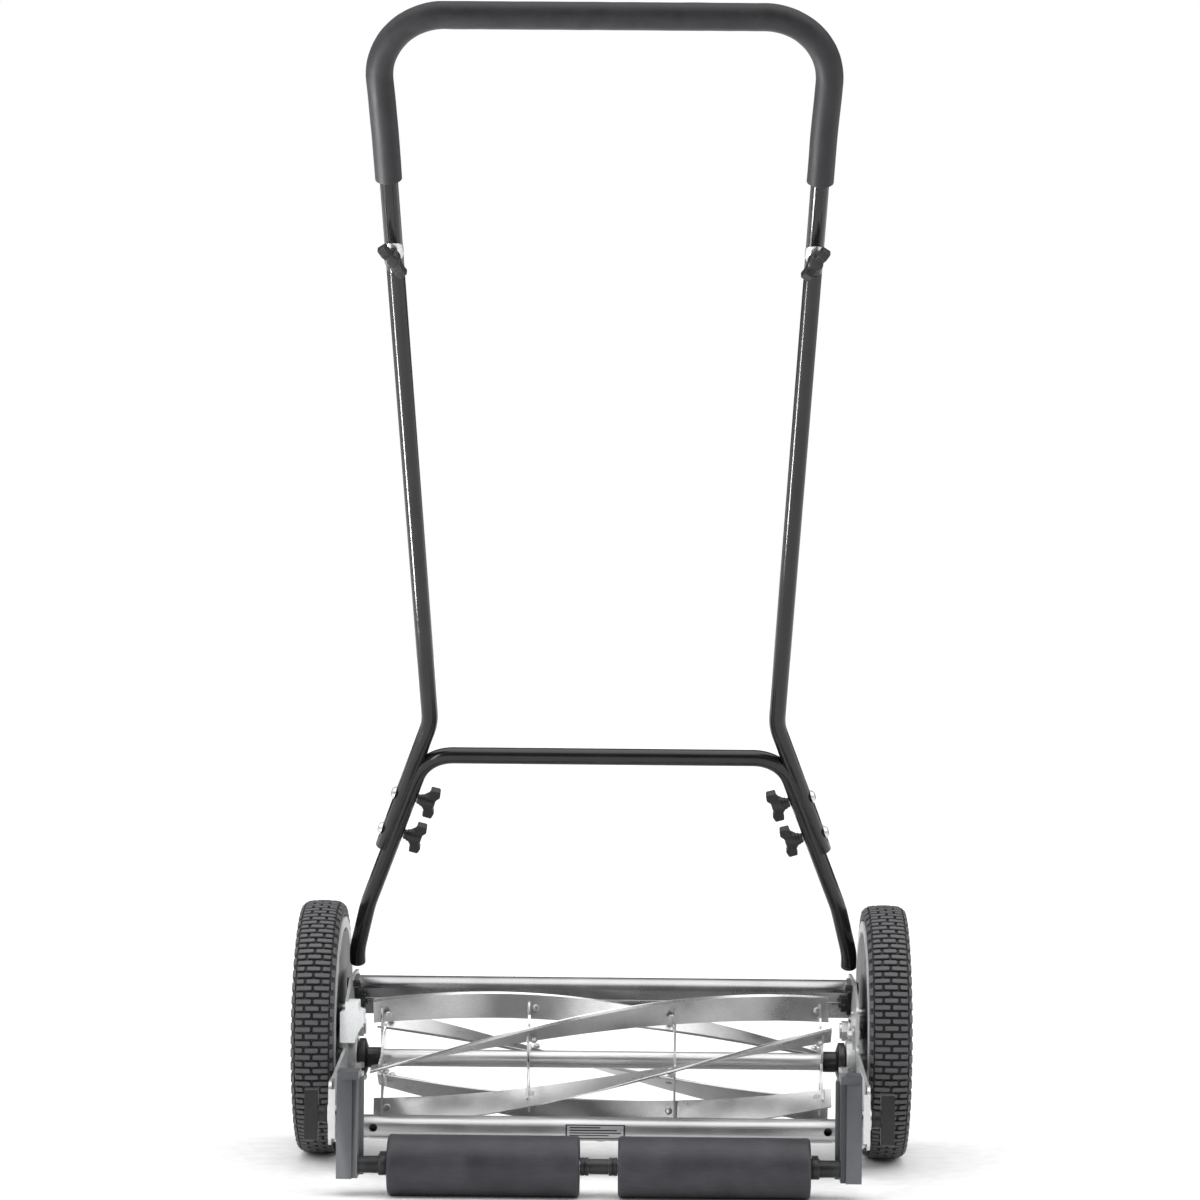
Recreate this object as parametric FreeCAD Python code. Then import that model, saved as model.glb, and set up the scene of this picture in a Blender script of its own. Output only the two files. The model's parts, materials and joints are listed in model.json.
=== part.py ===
"""Push reel mower, 18 inch cut, as separate pieces, in millimetres.

+X is the operator's right, +Y is the direction of travel, +Z is up. The origin is on the ground,
under the middle of the whole object. Section points are (y, z) pairs measured from the wheel axle's
line along Y and from the ground along Z. Pieces are drawn on the right side (+X) and mirrored.
"""
import FreeCAD, Part
import math
import os

V = FreeCAD.Vector

# ---- wheels ----
TYRE_R = 127.0
TYRE_IN, TYRE_OUT = 262.0, 304.0      # faces of the tyre, as distances from the centre plane
RIM_R = 104.0
RIM_GAP = 0.3
LIP_R, LIP_T = 110.5, 4.0
WEB_IN, WEB_OUT = 288.0, 293.0
BOSS_R, BOSS_IN, BOSS_OUT = 22.0, 268.0, 299.0
BUSH_R = 11.0
AXLE_R = 8.0
RUNNING = 0.06                        # radial clearance of a shaft in its hole
LOOSE = 0.1                           # clearance of a fixed part beside its neighbour
RIBS = 8

# ---- gear train ----
MODULE = 3.0
RING_TEETH, PINION_TEETH = 60, 12
PRESSURE_ANGLE = math.radians(20.0)
ADDENDUM, DEDENDUM = 0.8 * MODULE, 1.1 * MODULE
BACKLASH = 0.4                        # taken off each tooth's thickness
GEAR_IN, GEAR_OUT = 266.0, 279.0
GEAR_OFFSET = MODULE * (RING_TEETH - PINION_TEETH) / 2
REEL_Z = 104.5
REEL_Y = -math.sqrt(GEAR_OFFSET ** 2 - (TYRE_R - REEL_Z) ** 2)

# ---- side plates ----
PLATE_IN, PLATE_OUT = 250.0, 253.0
PLATE = [(50, 138), (50, 172), (41, 181), (-42, 181), (-98, 160), (-98, 119), (-235, 108),
         (-275, 108), (-275, 48), (-235, 48), (-150, 30), (-112, 28), (-90, 44), (-60, 71),
         (-20, 96), (30, 112)]
PLATE_CORNER = 7.0
COVER = ((257, 123), (242, 123), (242, 128), (234, 142), (234, 153), (239, 155), (239, 163), (252, 163),
         (252, 155), (257, 153))      # outline of the white cover, as (distance from the centre, height)
COVER_BACK, COVER_DEPTH = -104.0, 29.0
FLANGE_IN, FLANGE_LOW, FLANGE_HIGH = 246.5, 55.0, 101.0   # folded back edge of a side plate
HEAD_T = 3.0                          # thickness of the low bolt heads outside the plates
AXLE_END, AXLE_NUT_IN, AXLE_NUT_OUT, AXLE_NUT_ACROSS = 239.0, 241.0, 248.0, 19.0
AXLE_WASHER_R = 12.0
SHOULDER_R, SHOULDER_T = 13.0, 3.5    # the collar of a wheel axle, against its plate
AXLE_CLIP_R, HUB_CAP_BORE = 11.5, 13.0
CLIP_T = 1.0
SCREW_R, SCREW_HOLE_R, SCREW_HEAD_R = 2.0, 2.2, 4.2   # small screws of the dust shields
SHIELD_DEPTH, SHIELD_T = 4.0, 2.0
TIE_BOLT_R, TIE_BOLT_END, TIE_NUT = 3.9, 237.0, (241.5, 247.0, 11.0)
STOP_R, STOP_END, STOP_HEAD_R = 3.3, 243.0, 6.0
PIVOT_NUT = (240.0, 245.1, 13.0)
HOUSING_IN, HOUSING_R, HOUSING_T, HOUSING_REACH = 241.5, 22.0, 2.5, 27.0
HOUSING_BOLT_R, HOUSING_NUT = 2.5, (244.0, 8.0)
SHIELD_X, SHIELD_R = PLATE_OUT + 8.5, 97.0
PLATE_BORE_R = 13.0                   # hole round the reel's shaft

# ---- handle ----
LEAN = math.atan(1.497)               # slope of the handle's plane above the ground
PIVOT = (2.0, 153.0)
TUBE_R, TUBE_WALL = 8.0, 1.2
TOP_S = 1081.0                        # distance from the pivot to the top bar, along the handle
TOP_HALF = 195.0
TOP_BEND = 57.0
GRIP_R, GRIP_S = 12.0, 927.0
JOIN_S = 859.0                        # bolt that joins the upper handle to a middle tube
JOIN_HALF = 184.5
KINK_S = 347.0
MIDDLE_FOOT_S, MIDDLE_TOP_S = 198.0, JOIN_S - 21
CROSS_S, CROSS_HALF, CROSS_BEND = 308.0, 171.9, 38.0
KNEE_S, KNEE_HALF = 125.0, 233.0
FOOT_HALF = 247.5
NEST = 6.5                            # how far a middle tube stands out from the leg it hugs
NEST_GAP = 0.25
SPIGOT_R = 6.65                       # narrowed top end of a middle tube, inside the upper handle
KNOB_S = (215.0, 258.0)               # clamp bolts that hold each middle tube to the lower handle
STRAP_T, STRAP_W = 4.0, 22.0
TUBE_FOOT = 51.0                      # where a leg's round tube begins above its flattened end
COLLAR_R = 8.3                        # the swell at the foot of the round tube
PIVOT_BOLT_R = 4.0
STRAP_TOP = 26.0                      # where a leg's flat foot begins to swell into the tube
CLAMP_R, CLAMP_HEAD_R, CLAMP_HEAD_T = 3.0, 6.5, 3.0   # the handle's bolts
CURVED_WASHER_R = 9.5
TOP_SPREAD = 110.0                    # length of the curve from the top bar down to the straight legs

# ---- reel ----
REEL_R = 66.0
BLADE_HALF = 225.0
BLADE_W, BLADE_T = 26.0, 3.0
BLADES = 5
TWIST = 115.0
BLADE_START = -5.5                    # angle of the first blade at its left end, above straight back
SPIDERS = (-216.6, -72.2, 72.2, 216.6)
SPIDER_T = 2.0
SPIDER_HUB_R, SPIDER_TIP_R = 21.0, 57.0
TAB_T = 2.4                           # thickness of a tab with its gap to the blade
TAB_IN, TAB_OUT, TAB_HALF = 45.0, 55.5, 5.0   # folded tab: its two radii, and half its length along X
RIVET_RADIUS = 50.0
RIVET_R, RIVET_HEAD_R, RIVET_HEAD_T, RIVET_NUT_R, RIVET_NUT_T = 2.5, 4.0, 0.8, 3.7, 3.0
SHAFT_R, SHAFT_HALF = 8.5, 284.0
BEARING_R = 17.5
WASHER_IN, WASHER_RISE, WASHER_FACE, WASHER_OUT = 219.0, 231.5, 234.0, 240.6   # the dished dust washers
WASHER_SLEEVE_R, WASHER_R = 10.2, 19.0
PAWL_HALF, PAWL_T, PAWL_REACH = 3.0, 3.0, 9.5
PINION_CLIP_X, PINION_CLIP_T = GEAR_OUT + 0.9, 1.2

# ---- cutter bar and bed knife ----
BAR = (-127.0, 45.0)
BAR_R, BAR_WALL, BAR_HALF = 11.3, 2.9, 233.0
BAR_HOLE_R, BAR_HOLE_X = 4.0, 221.0
BAR_BOLT_R, BAR_END_T = 4.0, 7.0
KNIFE_SCREW_R, KNIFE_SCREW_HEAD_R = 2.5, 4.2
KNIFE_HALF, KNIFE_LOW, KNIFE_T, KNIFE_TOP = 226.0, 33.7, 2.2, 38.1
KNIFE_SCREWS = (-200, -100, 0, 100, 200)
ADJUST_X, ADJUST_Y = 238.5, -104.0
ADJUST_R, ADJUST_LOW, ADJUST_HIGH, ADJUST_NUT = 3.0, 55.0, 104.0, 10.0
ADJUST_TAB, ADJUST_TAB_T = 88.0, 3.0  # folded tab of the side plate: height of its underside, thickness
EAR_T, EAR_TOP = 3.0, 67.0
SPRING_PITCH, SPRING_LENGTH, SPRING_R, WIRE_R, SPRING_LOW = 3.4, 15.3, 5.2, 0.75, 71.8

# ---- tie bar ----
TIE = (30.0, 163.5)
TIE_R, TIE_WALL, TIE_SKIRT = 12.0, 2.0, 138.0
TIE_FRONT = 150.0                     # lower edge of the short front skirt
TIE_BEAD, TIE_BEAD_R = 153.0, 1.4     # height and radius of the pressed bead along the back

# ---- rear roller ----
ROLLER_R, ROLLER_WALL = 28.5, 4.0
ROLLER_IN, ROLLER_OUT = 18.0, 198.0
ROLLER = (-258.0, 28.5)
ROLLER_AXLE_R = 6.0
BUSH_FLANGE_X, BUSH_FLANGE_R, BUSH_SLEEVE_R = ROLLER_OUT + 9, 10.0, 8.0
SPACER_HALF, SPACER_R, COLLAR_END_R = 9.1, 7.2, 8.5
SLIDE = (-255.0, 75.0)                # height bolt, at rest
SLIDE_TRAVEL = 16.0
KNOB_X, KNOB_OUT, KNOB_BORE, KNOB_STEM_R = 262.5, 277.0, 268.5, 9.0   # the cutting-height knobs
WASHER_T = 1.5
BRACKET_IN, BRACKET_OUT = 226.0, 245.5
BRACKET_BACK, BRACKET_FRONT = -274.0, -243.0
BRACKET_LOW, BRACKET_HIGH = 17.0, 117.0
BRACKET_T, CAP_T = 3.0, 7.0
STEP_X, STEP_Y = 231.0, -269.0        # the inner strip of a bracket's back is set forwards to here
CLIP_R = 7.6
CLIP_X = BRACKET_IN + BRACKET_T + 0.4   # the roller axle's clips, inside the channels

REACH = TOP_S * math.cos(LEAN) - PIVOT[0] + GRIP_R
WHEEL_Y = (REACH - TYRE_R) / 2        # puts the origin under the middle of the object


# ---------------------------------------------------------------- helpers
def at(x, yz):
    return V(x, WHEEL_Y + yz[0], yz[1])


def rod(x0, x1, yz, radius, bore=0.0):
    """A cylinder or a sleeve along X."""
    body = Part.makeCylinder(radius, x1 - x0, at(x0, yz), V(1, 0, 0))
    if bore:
        body = body.cut(Part.makeCylinder(bore, x1 - x0 + 2, at(x0 - 1, yz), V(1, 0, 0)))
    return body


def hexagon(x0, x1, yz, across):
    """A hexagonal nut or head along X."""
    radius = across / math.sqrt(3)
    ring = [at(x0, (yz[0] + radius * math.cos(math.radians(a)), yz[1] + radius * math.sin(math.radians(a))))
            for a in range(0, 361, 60)]
    return Part.Face(Part.makePolygon(ring)).extrude(V(x1 - x0, 0, 0))


def rounded(points, radius):
    """A closed wire through 3-D points, with every corner rounded."""
    edges, starts, ends = [], [], []
    count = len(points)
    for i in range(count):
        before, corner, after = points[i - 1], points[i], points[(i + 1) % count]
        a, b = (before - corner), (after - corner)
        half = a.getAngle(b) / 2
        reach = min(radius / math.tan(half), 0.45 * a.Length, 0.45 * b.Length)
        a.normalize()
        b.normalize()
        middle = a + b
        middle.normalize()
        own = reach * math.tan(half)
        centre = corner + middle * (own / math.sin(half))
        starts.append(corner + a * reach)
        ends.append(corner + b * reach)
        edges.append(Part.Arc(starts[i], centre - middle * own, ends[i]).toShape())
        if i:
            edges.append(Part.LineSegment(ends[i - 1], starts[i]).toShape())
    edges.append(Part.LineSegment(ends[-1], starts[0]).toShape())
    return Part.Wire(Part.__sortEdges__(edges))


def sheet(x0, x1, outline, radius):
    """A flat plate between two X planes, from a list of (y, z) corners."""
    wire = rounded([at(x0, p) for p in outline], radius)
    return Part.Face(wire).extrude(V(x1 - x0, 0, 0))


def box(x0, x1, y0, y1, z0, z1):
    return Part.makeBox(x1 - x0, y1 - y0, z1 - z0, at(x0, (y0, z0)))


def upright(x, y, z0, z1, radius):
    return Part.makeCylinder(radius, z1 - z0, at(x, (y, z0)), V(0, 0, 1))


def flip(shape):
    return shape.mirror(V(0, 0, 0), V(1, 0, 0))


def both(shape):
    return Part.makeCompound([shape, flip(shape)])


def turned(profile, yz):
    """A solid of revolution about an X axis, from (x, radius) corners."""
    points = [at(x, (yz[0] + r, yz[1])) for x, r in profile]
    return Part.Face(Part.makePolygon(points + points[:1])).revolve(at(0, yz), V(1, 0, 0), 360)


def save(name, shape):
    shape.exportStep("parts/" + name + ".step")


def save_pair(name, shape):
    save("right_" + name, shape)
    save("left_" + name, flip(shape))


# ---------------------------------------------------------------- wheels
def involute_half(base, pitch, thickness, radius):
    """Half the angle that a tooth covers at a radius."""
    def inv(r):
        if r <= base:
            return 0.0
        a = math.acos(base / r)
        return math.tan(a) - a
    return thickness / (2 * pitch) + inv(pitch) - inv(radius)


def gear_wire(x, yz, teeth, tip, root, thickness, phase):
    """The outline of an external gear. It also cuts the teeth of the ring gear."""
    pitch = MODULE * teeth / 2
    base = pitch * math.cos(PRESSURE_ANGLE)
    radii = [root + (tip - root) * k / 4 for k in range(5)]
    points = []
    for tooth in range(teeth):
        middle = phase + 2 * math.pi * tooth / teeth
        flank = [(r, involute_half(base, pitch, thickness, r)) for r in radii]
        for r, half in flank:
            points.append((r, middle - half))
        for r, half in reversed(flank):
            points.append((r, middle + half))
    corners = [at(x, (yz[0] + r * math.cos(a), yz[1] + r * math.sin(a))) for r, a in points]
    return Part.makePolygon(corners + corners[:1])


def mesh_angle():
    """Direction from the wheel's centre to the reel's centre, in the YZ plane."""
    return math.atan2(REEL_Z - TYRE_R, REEL_Y)


def wheel_hub():
    axle = (0, TYRE_R)
    rim = RIM_R - RIM_GAP
    ring_out = rim - 4
    profile = [(TYRE_IN - 1, ring_out), (TYRE_IN - 1, LIP_R), (TYRE_IN - 1 + LIP_T, LIP_R),
               (TYRE_IN - 1 + LIP_T, rim), (TYRE_OUT - 4, rim), (TYRE_OUT - 4, ring_out),
               (WEB_OUT, ring_out), (WEB_OUT, BOSS_R), (BOSS_OUT, BOSS_R), (BOSS_OUT, BUSH_R),
               (BOSS_IN, BUSH_R), (BOSS_IN, BOSS_R), (WEB_IN, BOSS_R), (WEB_IN, ring_out)]
    body = turned(profile, axle)
    pitch = MODULE * RING_TEETH / 2
    space = math.pi * MODULE / 2 + BACKLASH
    body = body.fuse(rod(GEAR_IN, GEAR_OUT, axle, ring_out + 1))
    cutter = Part.Face(gear_wire(GEAR_IN - 1, axle, RING_TEETH, pitch + DEDENDUM, pitch - ADDENDUM, space,
                                 mesh_angle() + math.pi / RING_TEETH))
    body = body.cut(cutter.extrude(V(GEAR_OUT - GEAR_IN + 2, 0, 0)))
    for k in range(RIBS):
        rib = box(WEB_OUT - 1, WEB_OUT + 5, BOSS_R - 2, ring_out + 1, TYRE_R - 3, TYRE_R + 3)
        rib.rotate(at(0, axle), V(1, 0, 0), 360.0 * k / RIBS)
        body = body.fuse(rib)
    boss = rod(BOSS_IN, BOSS_OUT, axle, BOSS_R, BUSH_R)
    return body.fuse(boss).removeSplitter()


def tyre():
    side = TYRE_IN - 1 + LIP_T + 0.3
    edge = 6.0
    profile = [(side, RIM_R), (side, LIP_R + 0.5), (TYRE_IN, LIP_R + 2), (TYRE_IN, TYRE_R - edge),
               (TYRE_IN + edge * 0.3, TYRE_R - edge * 0.3), (TYRE_IN + edge, TYRE_R),
               (TYRE_OUT - edge, TYRE_R), (TYRE_OUT - edge * 0.3, TYRE_R - edge * 0.3),
               (TYRE_OUT, TYRE_R - edge), (TYRE_OUT, LIP_R), (TYRE_OUT - 3, RIM_R)]
    return turned(profile, (0, TYRE_R))


def wheel_bush():
    return rod(BOSS_IN - 1, BOSS_OUT, (0, TYRE_R), BUSH_R - 0.1, AXLE_R + RUNNING)


def hub_cap():
    """A shallow cap pressed over the end of the hub's boss."""
    inner, outer = BOSS_OUT + 0.2, TYRE_OUT - 0.2
    bore, edge, skin = HUB_CAP_BORE, BOSS_R + 1.5, 1.5
    profile = [(inner, bore), (inner, edge), (outer - skin, edge), (outer, BOSS_R - 2), (outer, 0),
               (outer - skin, 0), (outer - skin, bore)]
    return turned(profile, (0, TYRE_R))


def axle_stub():
    """The wheel's axle: a shoulder bolt through the side plate, with its nut inside."""
    axle = (0, TYRE_R)
    body = rod(AXLE_END, BOSS_OUT + 3, axle, AXLE_R)
    body = body.fuse(rod(PLATE_OUT, PLATE_OUT + SHOULDER_T, axle, SHOULDER_R))
    clip_x = BOSS_OUT + 5 * LOOSE
    groove = rod(clip_x - LOOSE, clip_x + CLIP_T + LOOSE, axle, AXLE_R + 1, AXLE_R - 0.8)
    return body.cut(groove)


def axle_nut():
    axle = (0, TYRE_R)
    body = hexagon(AXLE_NUT_IN, AXLE_NUT_OUT, axle, AXLE_NUT_ACROSS)
    body = body.fuse(rod(AXLE_NUT_OUT, PLATE_IN, axle, AXLE_WASHER_R))
    return body.cut(rod(AXLE_NUT_IN - 1, PLATE_IN + 1, axle, AXLE_R + RUNNING))


def axle_clip():
    clip_x = BOSS_OUT + 5 * LOOSE
    return rod(clip_x, clip_x + CLIP_T, (0, TYRE_R), AXLE_CLIP_R, AXLE_R - 0.7)


# ---------------------------------------------------------------- side plates and tie bar
def stop_point():
    """Centre of the stud that the handle rests against."""
    along, aside = 34.0, STRAP_W / 2 + 3.5
    return (PIVOT[0] - along * math.cos(LEAN) - aside * math.sin(LEAN),
            PIVOT[1] + along * math.sin(LEAN) - aside * math.cos(LEAN))


SHIELD_SCREWS = [(34, 128), (-46, 150), (-38, 98)]
TIE_BOLTS = [(30, 166), (30, 148)]
HOUSING_BOLTS = [(REEL_Y, REEL_Z + HOUSING_REACH), (REEL_Y, REEL_Z - HOUSING_REACH)]


def side_plate():
    body = sheet(PLATE_IN, PLATE_OUT, PLATE, PLATE_CORNER)
    tab = box(ADJUST_X - 8, PLATE_IN + 1, ADJUST_Y - 8, ADJUST_Y + 8, ADJUST_TAB, ADJUST_TAB + ADJUST_TAB_T)
    back = min(y for y, z in PLATE)
    flange = box(FLANGE_IN, PLATE_OUT, back - 2, back + 1, FLANGE_LOW, FLANGE_HIGH)
    body = body.fuse([tab, flange])
    body = body.cut(upright(ADJUST_X, ADJUST_Y, ADJUST_TAB - 3, ADJUST_TAB + 5, ADJUST_R + LOOSE))
    holes = [((0, TYRE_R), AXLE_R + LOOSE), ((REEL_Y, REEL_Z), PLATE_BORE_R),
             (PIVOT, PIVOT_BOLT_R + LOOSE), (stop_point(), STOP_R + LOOSE), (BAR, BAR_BOLT_R + LOOSE)]
    holes += [(p, SCREW_HOLE_R) for p in SHIELD_SCREWS]
    holes += [(p, TIE_BOLT_R + 0.2) for p in TIE_BOLTS]
    holes += [(p, HOUSING_BOLT_R + LOOSE) for p in HOUSING_BOLTS]
    for yz, radius in holes:
        body = body.cut(rod(PLATE_IN - 1, PLATE_OUT + 1, yz, radius))
    half = PIVOT_BOLT_R + 0.4
    low, high = SLIDE[1] - SLIDE_TRAVEL - 0.3, SLIDE[1] + SLIDE_TRAVEL + 0.3
    slot = box(PLATE_IN - 1, PLATE_OUT + 1, SLIDE[0] - half, SLIDE[0] + half, low, high)
    for z in (low, high):
        slot = slot.fuse(rod(PLATE_IN - 1, PLATE_OUT + 1, (SLIDE[0], z), half))
    return body.cut(slot)


def dust_shield():
    """A pressed disc that keeps grass out of the gears."""
    inner, rim = SHIELD_X, SHIELD_R
    lip, skin = inner + SHIELD_DEPTH, inner + SHIELD_T
    profile = [(inner, 0), (inner, rim), (lip, rim), (lip, rim - SHIELD_T), (skin, rim - SHIELD_T), (skin, 0)]
    body = turned(profile, (0, TYRE_R))
    holes = [((0, TYRE_R), AXLE_R + 1.5), ((REEL_Y, REEL_Z), SHAFT_R + 2)]
    for yz, radius in holes + [(p, SCREW_HOLE_R) for p in SHIELD_SCREWS]:
        body = body.cut(rod(inner - 1, lip, yz, radius))
    return body


def shield_screws():
    heads = []
    for yz in SHIELD_SCREWS:
        under, top = SHIELD_X + SHIELD_T + LOOSE, SHIELD_X + SHIELD_T + 1.5
        heads.append(rod(PLATE_IN - 2, top, yz, SCREW_R).fuse(rod(under, top, yz, SCREW_HEAD_R)))
    return heads


def shield_spacers():
    return [rod(PLATE_OUT, SHIELD_X, yz, SCREW_HEAD_R + 0.8, SCREW_HOLE_R) for yz in SHIELD_SCREWS]


def tie_profile(x0, x1, radius):
    """The tie bar's outside shape: a round top, a long back skirt and a short front one."""
    y, z = TIE
    edges = [Part.Arc(at(x0, (y - radius, z)), at(x0, (y, z + radius)), at(x0, (y + radius, z))).toShape(),
             Part.makeLine(at(x0, (y + radius, z)), at(x0, (y + radius, TIE_SKIRT))),
             Part.makeLine(at(x0, (y + radius, TIE_SKIRT)), at(x0, (y - radius, TIE_SKIRT))),
             Part.makeLine(at(x0, (y - radius, TIE_SKIRT)), at(x0, (y - radius, z)))]
    return Part.Face(Part.Wire(edges)).extrude(V(x1 - x0, 0, 0))


def tie_bar():
    y = TIE[0]
    outer = tie_profile(-PLATE_IN, PLATE_IN, TIE_R)
    end = PLATE_IN - 3
    hollow = tie_profile(-end, end, TIE_R - TIE_WALL)
    hollow = hollow.fuse(box(-end, end, y - TIE_R + TIE_WALL, y + TIE_R + 1, TIE_SKIRT - 1, TIE_FRONT))
    bead = rod(1 - PLATE_IN, PLATE_IN - 1, (y - TIE_R + 0.2, TIE_BEAD), TIE_BEAD_R)
    body = outer.cut(hollow).fuse(bead)
    for side in (-1, 1):
        for yz in TIE_BOLTS:
            x0 = side * PLATE_IN - 4
            body = body.cut(rod(x0, x0 + 8, yz, TIE_BOLT_R + 0.2))
    return body


def plate_bolt(end, yz, radius, head_r):
    """A bolt with a low head outside the side plate. It reaches inwards to the given end."""
    top = PLATE_OUT + HEAD_T
    return rod(end, top, yz, radius).fuse(rod(PLATE_OUT, top, yz, head_r))


def tie_bolts():
    bolts = []
    for yz in TIE_BOLTS:
        near, far, across = TIE_NUT
        bolts.append(plate_bolt(TIE_BOLT_END, yz, TIE_BOLT_R, 7).fuse(hexagon(near, far, yz, across)))
    return bolts


def handle_stop():
    return plate_bolt(STOP_END, stop_point(), STOP_R, STOP_HEAD_R)


def pivot_bolt():
    near, far, across = PIVOT_NUT
    return plate_bolt(near - 2, PIVOT, PIVOT_BOLT_R, 8).fuse(hexagon(near, far, PIVOT, across))


def bearing_housing():
    """A pressed cup with two ears that holds the reel's ball bearing."""
    centre = (REEL_Y, REEL_Z)
    body = rod(HOUSING_IN, PLATE_IN, centre, HOUSING_R)
    long, narrow, wide = HOUSING_REACH + 8, 9, HOUSING_R
    ear = [(-narrow, -long), (narrow, -long), (wide, 0), (narrow, long), (-narrow, long), (-wide, 0)]
    ear = [(REEL_Y + y, REEL_Z + z) for y, z in ear]
    body = body.fuse(sheet(PLATE_IN - HOUSING_T, PLATE_IN, ear, 6))
    body = body.cut(rod(HOUSING_IN + 2, PLATE_IN + 1, centre, BEARING_R + 0.15))
    body = body.cut(rod(HOUSING_IN - 1, HOUSING_IN + 3, centre, BEARING_R - 5.5))
    for yz in HOUSING_BOLTS:
        body = body.cut(rod(PLATE_IN - 4, PLATE_IN + 1, yz, HOUSING_BOLT_R + LOOSE))
    return body


def housing_bolts():
    bolts = []
    for yz in HOUSING_BOLTS:
        near, across = HOUSING_NUT
        nut = hexagon(near, PLATE_IN - HOUSING_T, yz, across)
        bolts.append(plate_bolt(near - 1, yz, HOUSING_BOLT_R, 5).fuse(nut))
    return bolts


def reel_bearing():
    return rod(HOUSING_IN + 2 + LOOSE, PLATE_IN - 2 * LOOSE, (REEL_Y, REEL_Z), BEARING_R, SHAFT_R + RUNNING)


def white_cover():
    """A moulded cover clipped over the back edge of the left plate, above the bearing."""
    low, high = COVER[0][1], COVER[6][1]
    outline = [V(-x, 0, z) + at(0, (COVER_BACK, 0)) for x, z in COVER]
    body = Part.Face(rounded(outline, 1.2)).extrude(V(0, COVER_DEPTH, 0))
    body = body.cut(box(-PLATE_OUT - 0.3, 0.3 - PLATE_IN, COVER_BACK + 5, 0, low - 1, high + 1))
    body = body.cut(rod(-COVER[0][0] - 1, -COVER[3][0] + 1, (REEL_Y, REEL_Z), HOUSING_R + 0.4))
    return body.cut(box(-PLATE_IN - 1, 4 - PLATE_IN, REEL_Y - HOUSING_R - 2, REEL_Y + HOUSING_R + 2,
                        low - 1, REEL_Z + HOUSING_REACH + 10.5))


# ---------------------------------------------------------------- reel
def blade_angle(x, k):
    """Angle of blade k about the shaft at x, in radians, from straight back up to the top."""
    return math.radians(BLADE_START + 360.0 * k / BLADES + TWIST * (x + BLADE_HALF) / (2 * BLADE_HALF))


def polar(x, radius, aside, angle):
    """A point by its radius, and by its offset square to that radius."""
    y = REEL_Y - radius * math.cos(angle) + aside * math.sin(angle)
    z = REEL_Z + radius * math.sin(angle) + aside * math.cos(angle)
    return at(x, (y, z))


def helix_strip(k, x0, x1, low, high, near, far, steps):
    """A strip that follows blade k, between two radii and two offsets."""
    sections = []
    for i in range(steps + 1):
        x = x0 + (x1 - x0) * i / steps
        a = blade_angle(x, k)
        ring = [polar(x, low, near, a), polar(x, high, near, a), polar(x, high, far, a),
                polar(x, low, far, a)]
        sections.append(Part.makePolygon(ring + ring[:1]))
    return Part.makeLoft(sections, True, False)


def rivet_axis(x, k):
    a = blade_angle(x, k)
    start = polar(x, RIVET_RADIUS, 0, a)
    lead = math.radians(TWIST) / (2 * BLADE_HALF) * RIVET_RADIUS
    across = polar(x, RIVET_RADIUS, 1, a) - start
    across = across - V(lead, 0, 0)
    across.normalize()
    return start, across


def rivet_hole(x, k):
    start, across = rivet_axis(x, k)
    return Part.makeCylinder(RIVET_R + 0.2, 16, start - across * 8, across)


def blade(k):
    half = BLADE_T / 2
    body = helix_strip(k, -BLADE_HALF, BLADE_HALF, REEL_R - BLADE_W, REEL_R, -half, half, 12)
    for x in SPIDERS:
        body = body.cut(rivet_hole(rivet_x(x), k))
    return body


def rivet_x(x):
    """The tabs reach inwards from their spider."""
    return x - math.copysign(TAB_HALF, x)


def spider(x):
    """A pressed plate whose arms fork round the blades, with a folded tab behind each blade."""
    left, right = x - SPIDER_T / 2, x + SPIDER_T / 2
    body = rod(left, right, (REEL_Y, REEL_Z), SPIDER_HUB_R)
    tab_x0, tab_x1 = sorted((x + math.copysign(SPIDER_T / 2, x), x - math.copysign(2 * TAB_HALF, x)))
    root, near = REEL_R - BLADE_W, -BLADE_T / 2
    inside = SPIDER_HUB_R - 6
    for k in range(BLADES):
        a = blade_angle(x, k)
        corners = [(inside, 7), (root - 2, 5.5), (SPIDER_TIP_R, 4.5), (SPIDER_TIP_R, near - TAB_T),
                   (TAB_IN - 2, near - TAB_T), (34, -9), (inside, -11)]
        ring = [polar(left, r, aside, a) for r, aside in corners]
        arm = Part.Face(Part.makePolygon(ring + ring[:1])).extrude(V(SPIDER_T, 0, 0))
        slot = helix_strip(k, x - 3, x + 3, root - 3 * LOOSE, REEL_R, near - LOOSE, LOOSE - near, 2)
        body = body.fuse(arm.cut(slot))
    for k in range(BLADES):
        body = body.fuse(helix_strip(k, tab_x0, tab_x1, TAB_IN, TAB_OUT, near - TAB_T, near - LOOSE, 3))
    for k in range(BLADES):
        body = body.cut(rivet_hole(rivet_x(x), k))
    return body.cut(rod(x - 3, x + 3, (REEL_Y, REEL_Z), SHAFT_R + 0.05))


def blade_rivets():
    """A small bolt through each tab and blade, with a low head on one side and a nut on the other."""
    pieces = []
    for x in SPIDERS:
        for k in range(BLADES):
            start, across = rivet_axis(rivet_x(x), k)
            low, high = -BLADE_T / 2 - TAB_T - 2 * LOOSE, BLADE_T / 2 + LOOSE
            end = low - RIVET_NUT_T - 1
            shank = Part.makeCylinder(RIVET_R, high - end, start + across * end, across)
            head = Part.makeCone(RIVET_HEAD_R, RIVET_HEAD_R - 1, RIVET_HEAD_T, start + across * high, across)
            nut = Part.makeCylinder(RIVET_NUT_R, RIVET_NUT_T, start + across * (low - RIVET_NUT_T), across)
            pieces.append(shank.fuse([head, nut]))
    return Part.makeCompound(pieces)


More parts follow.
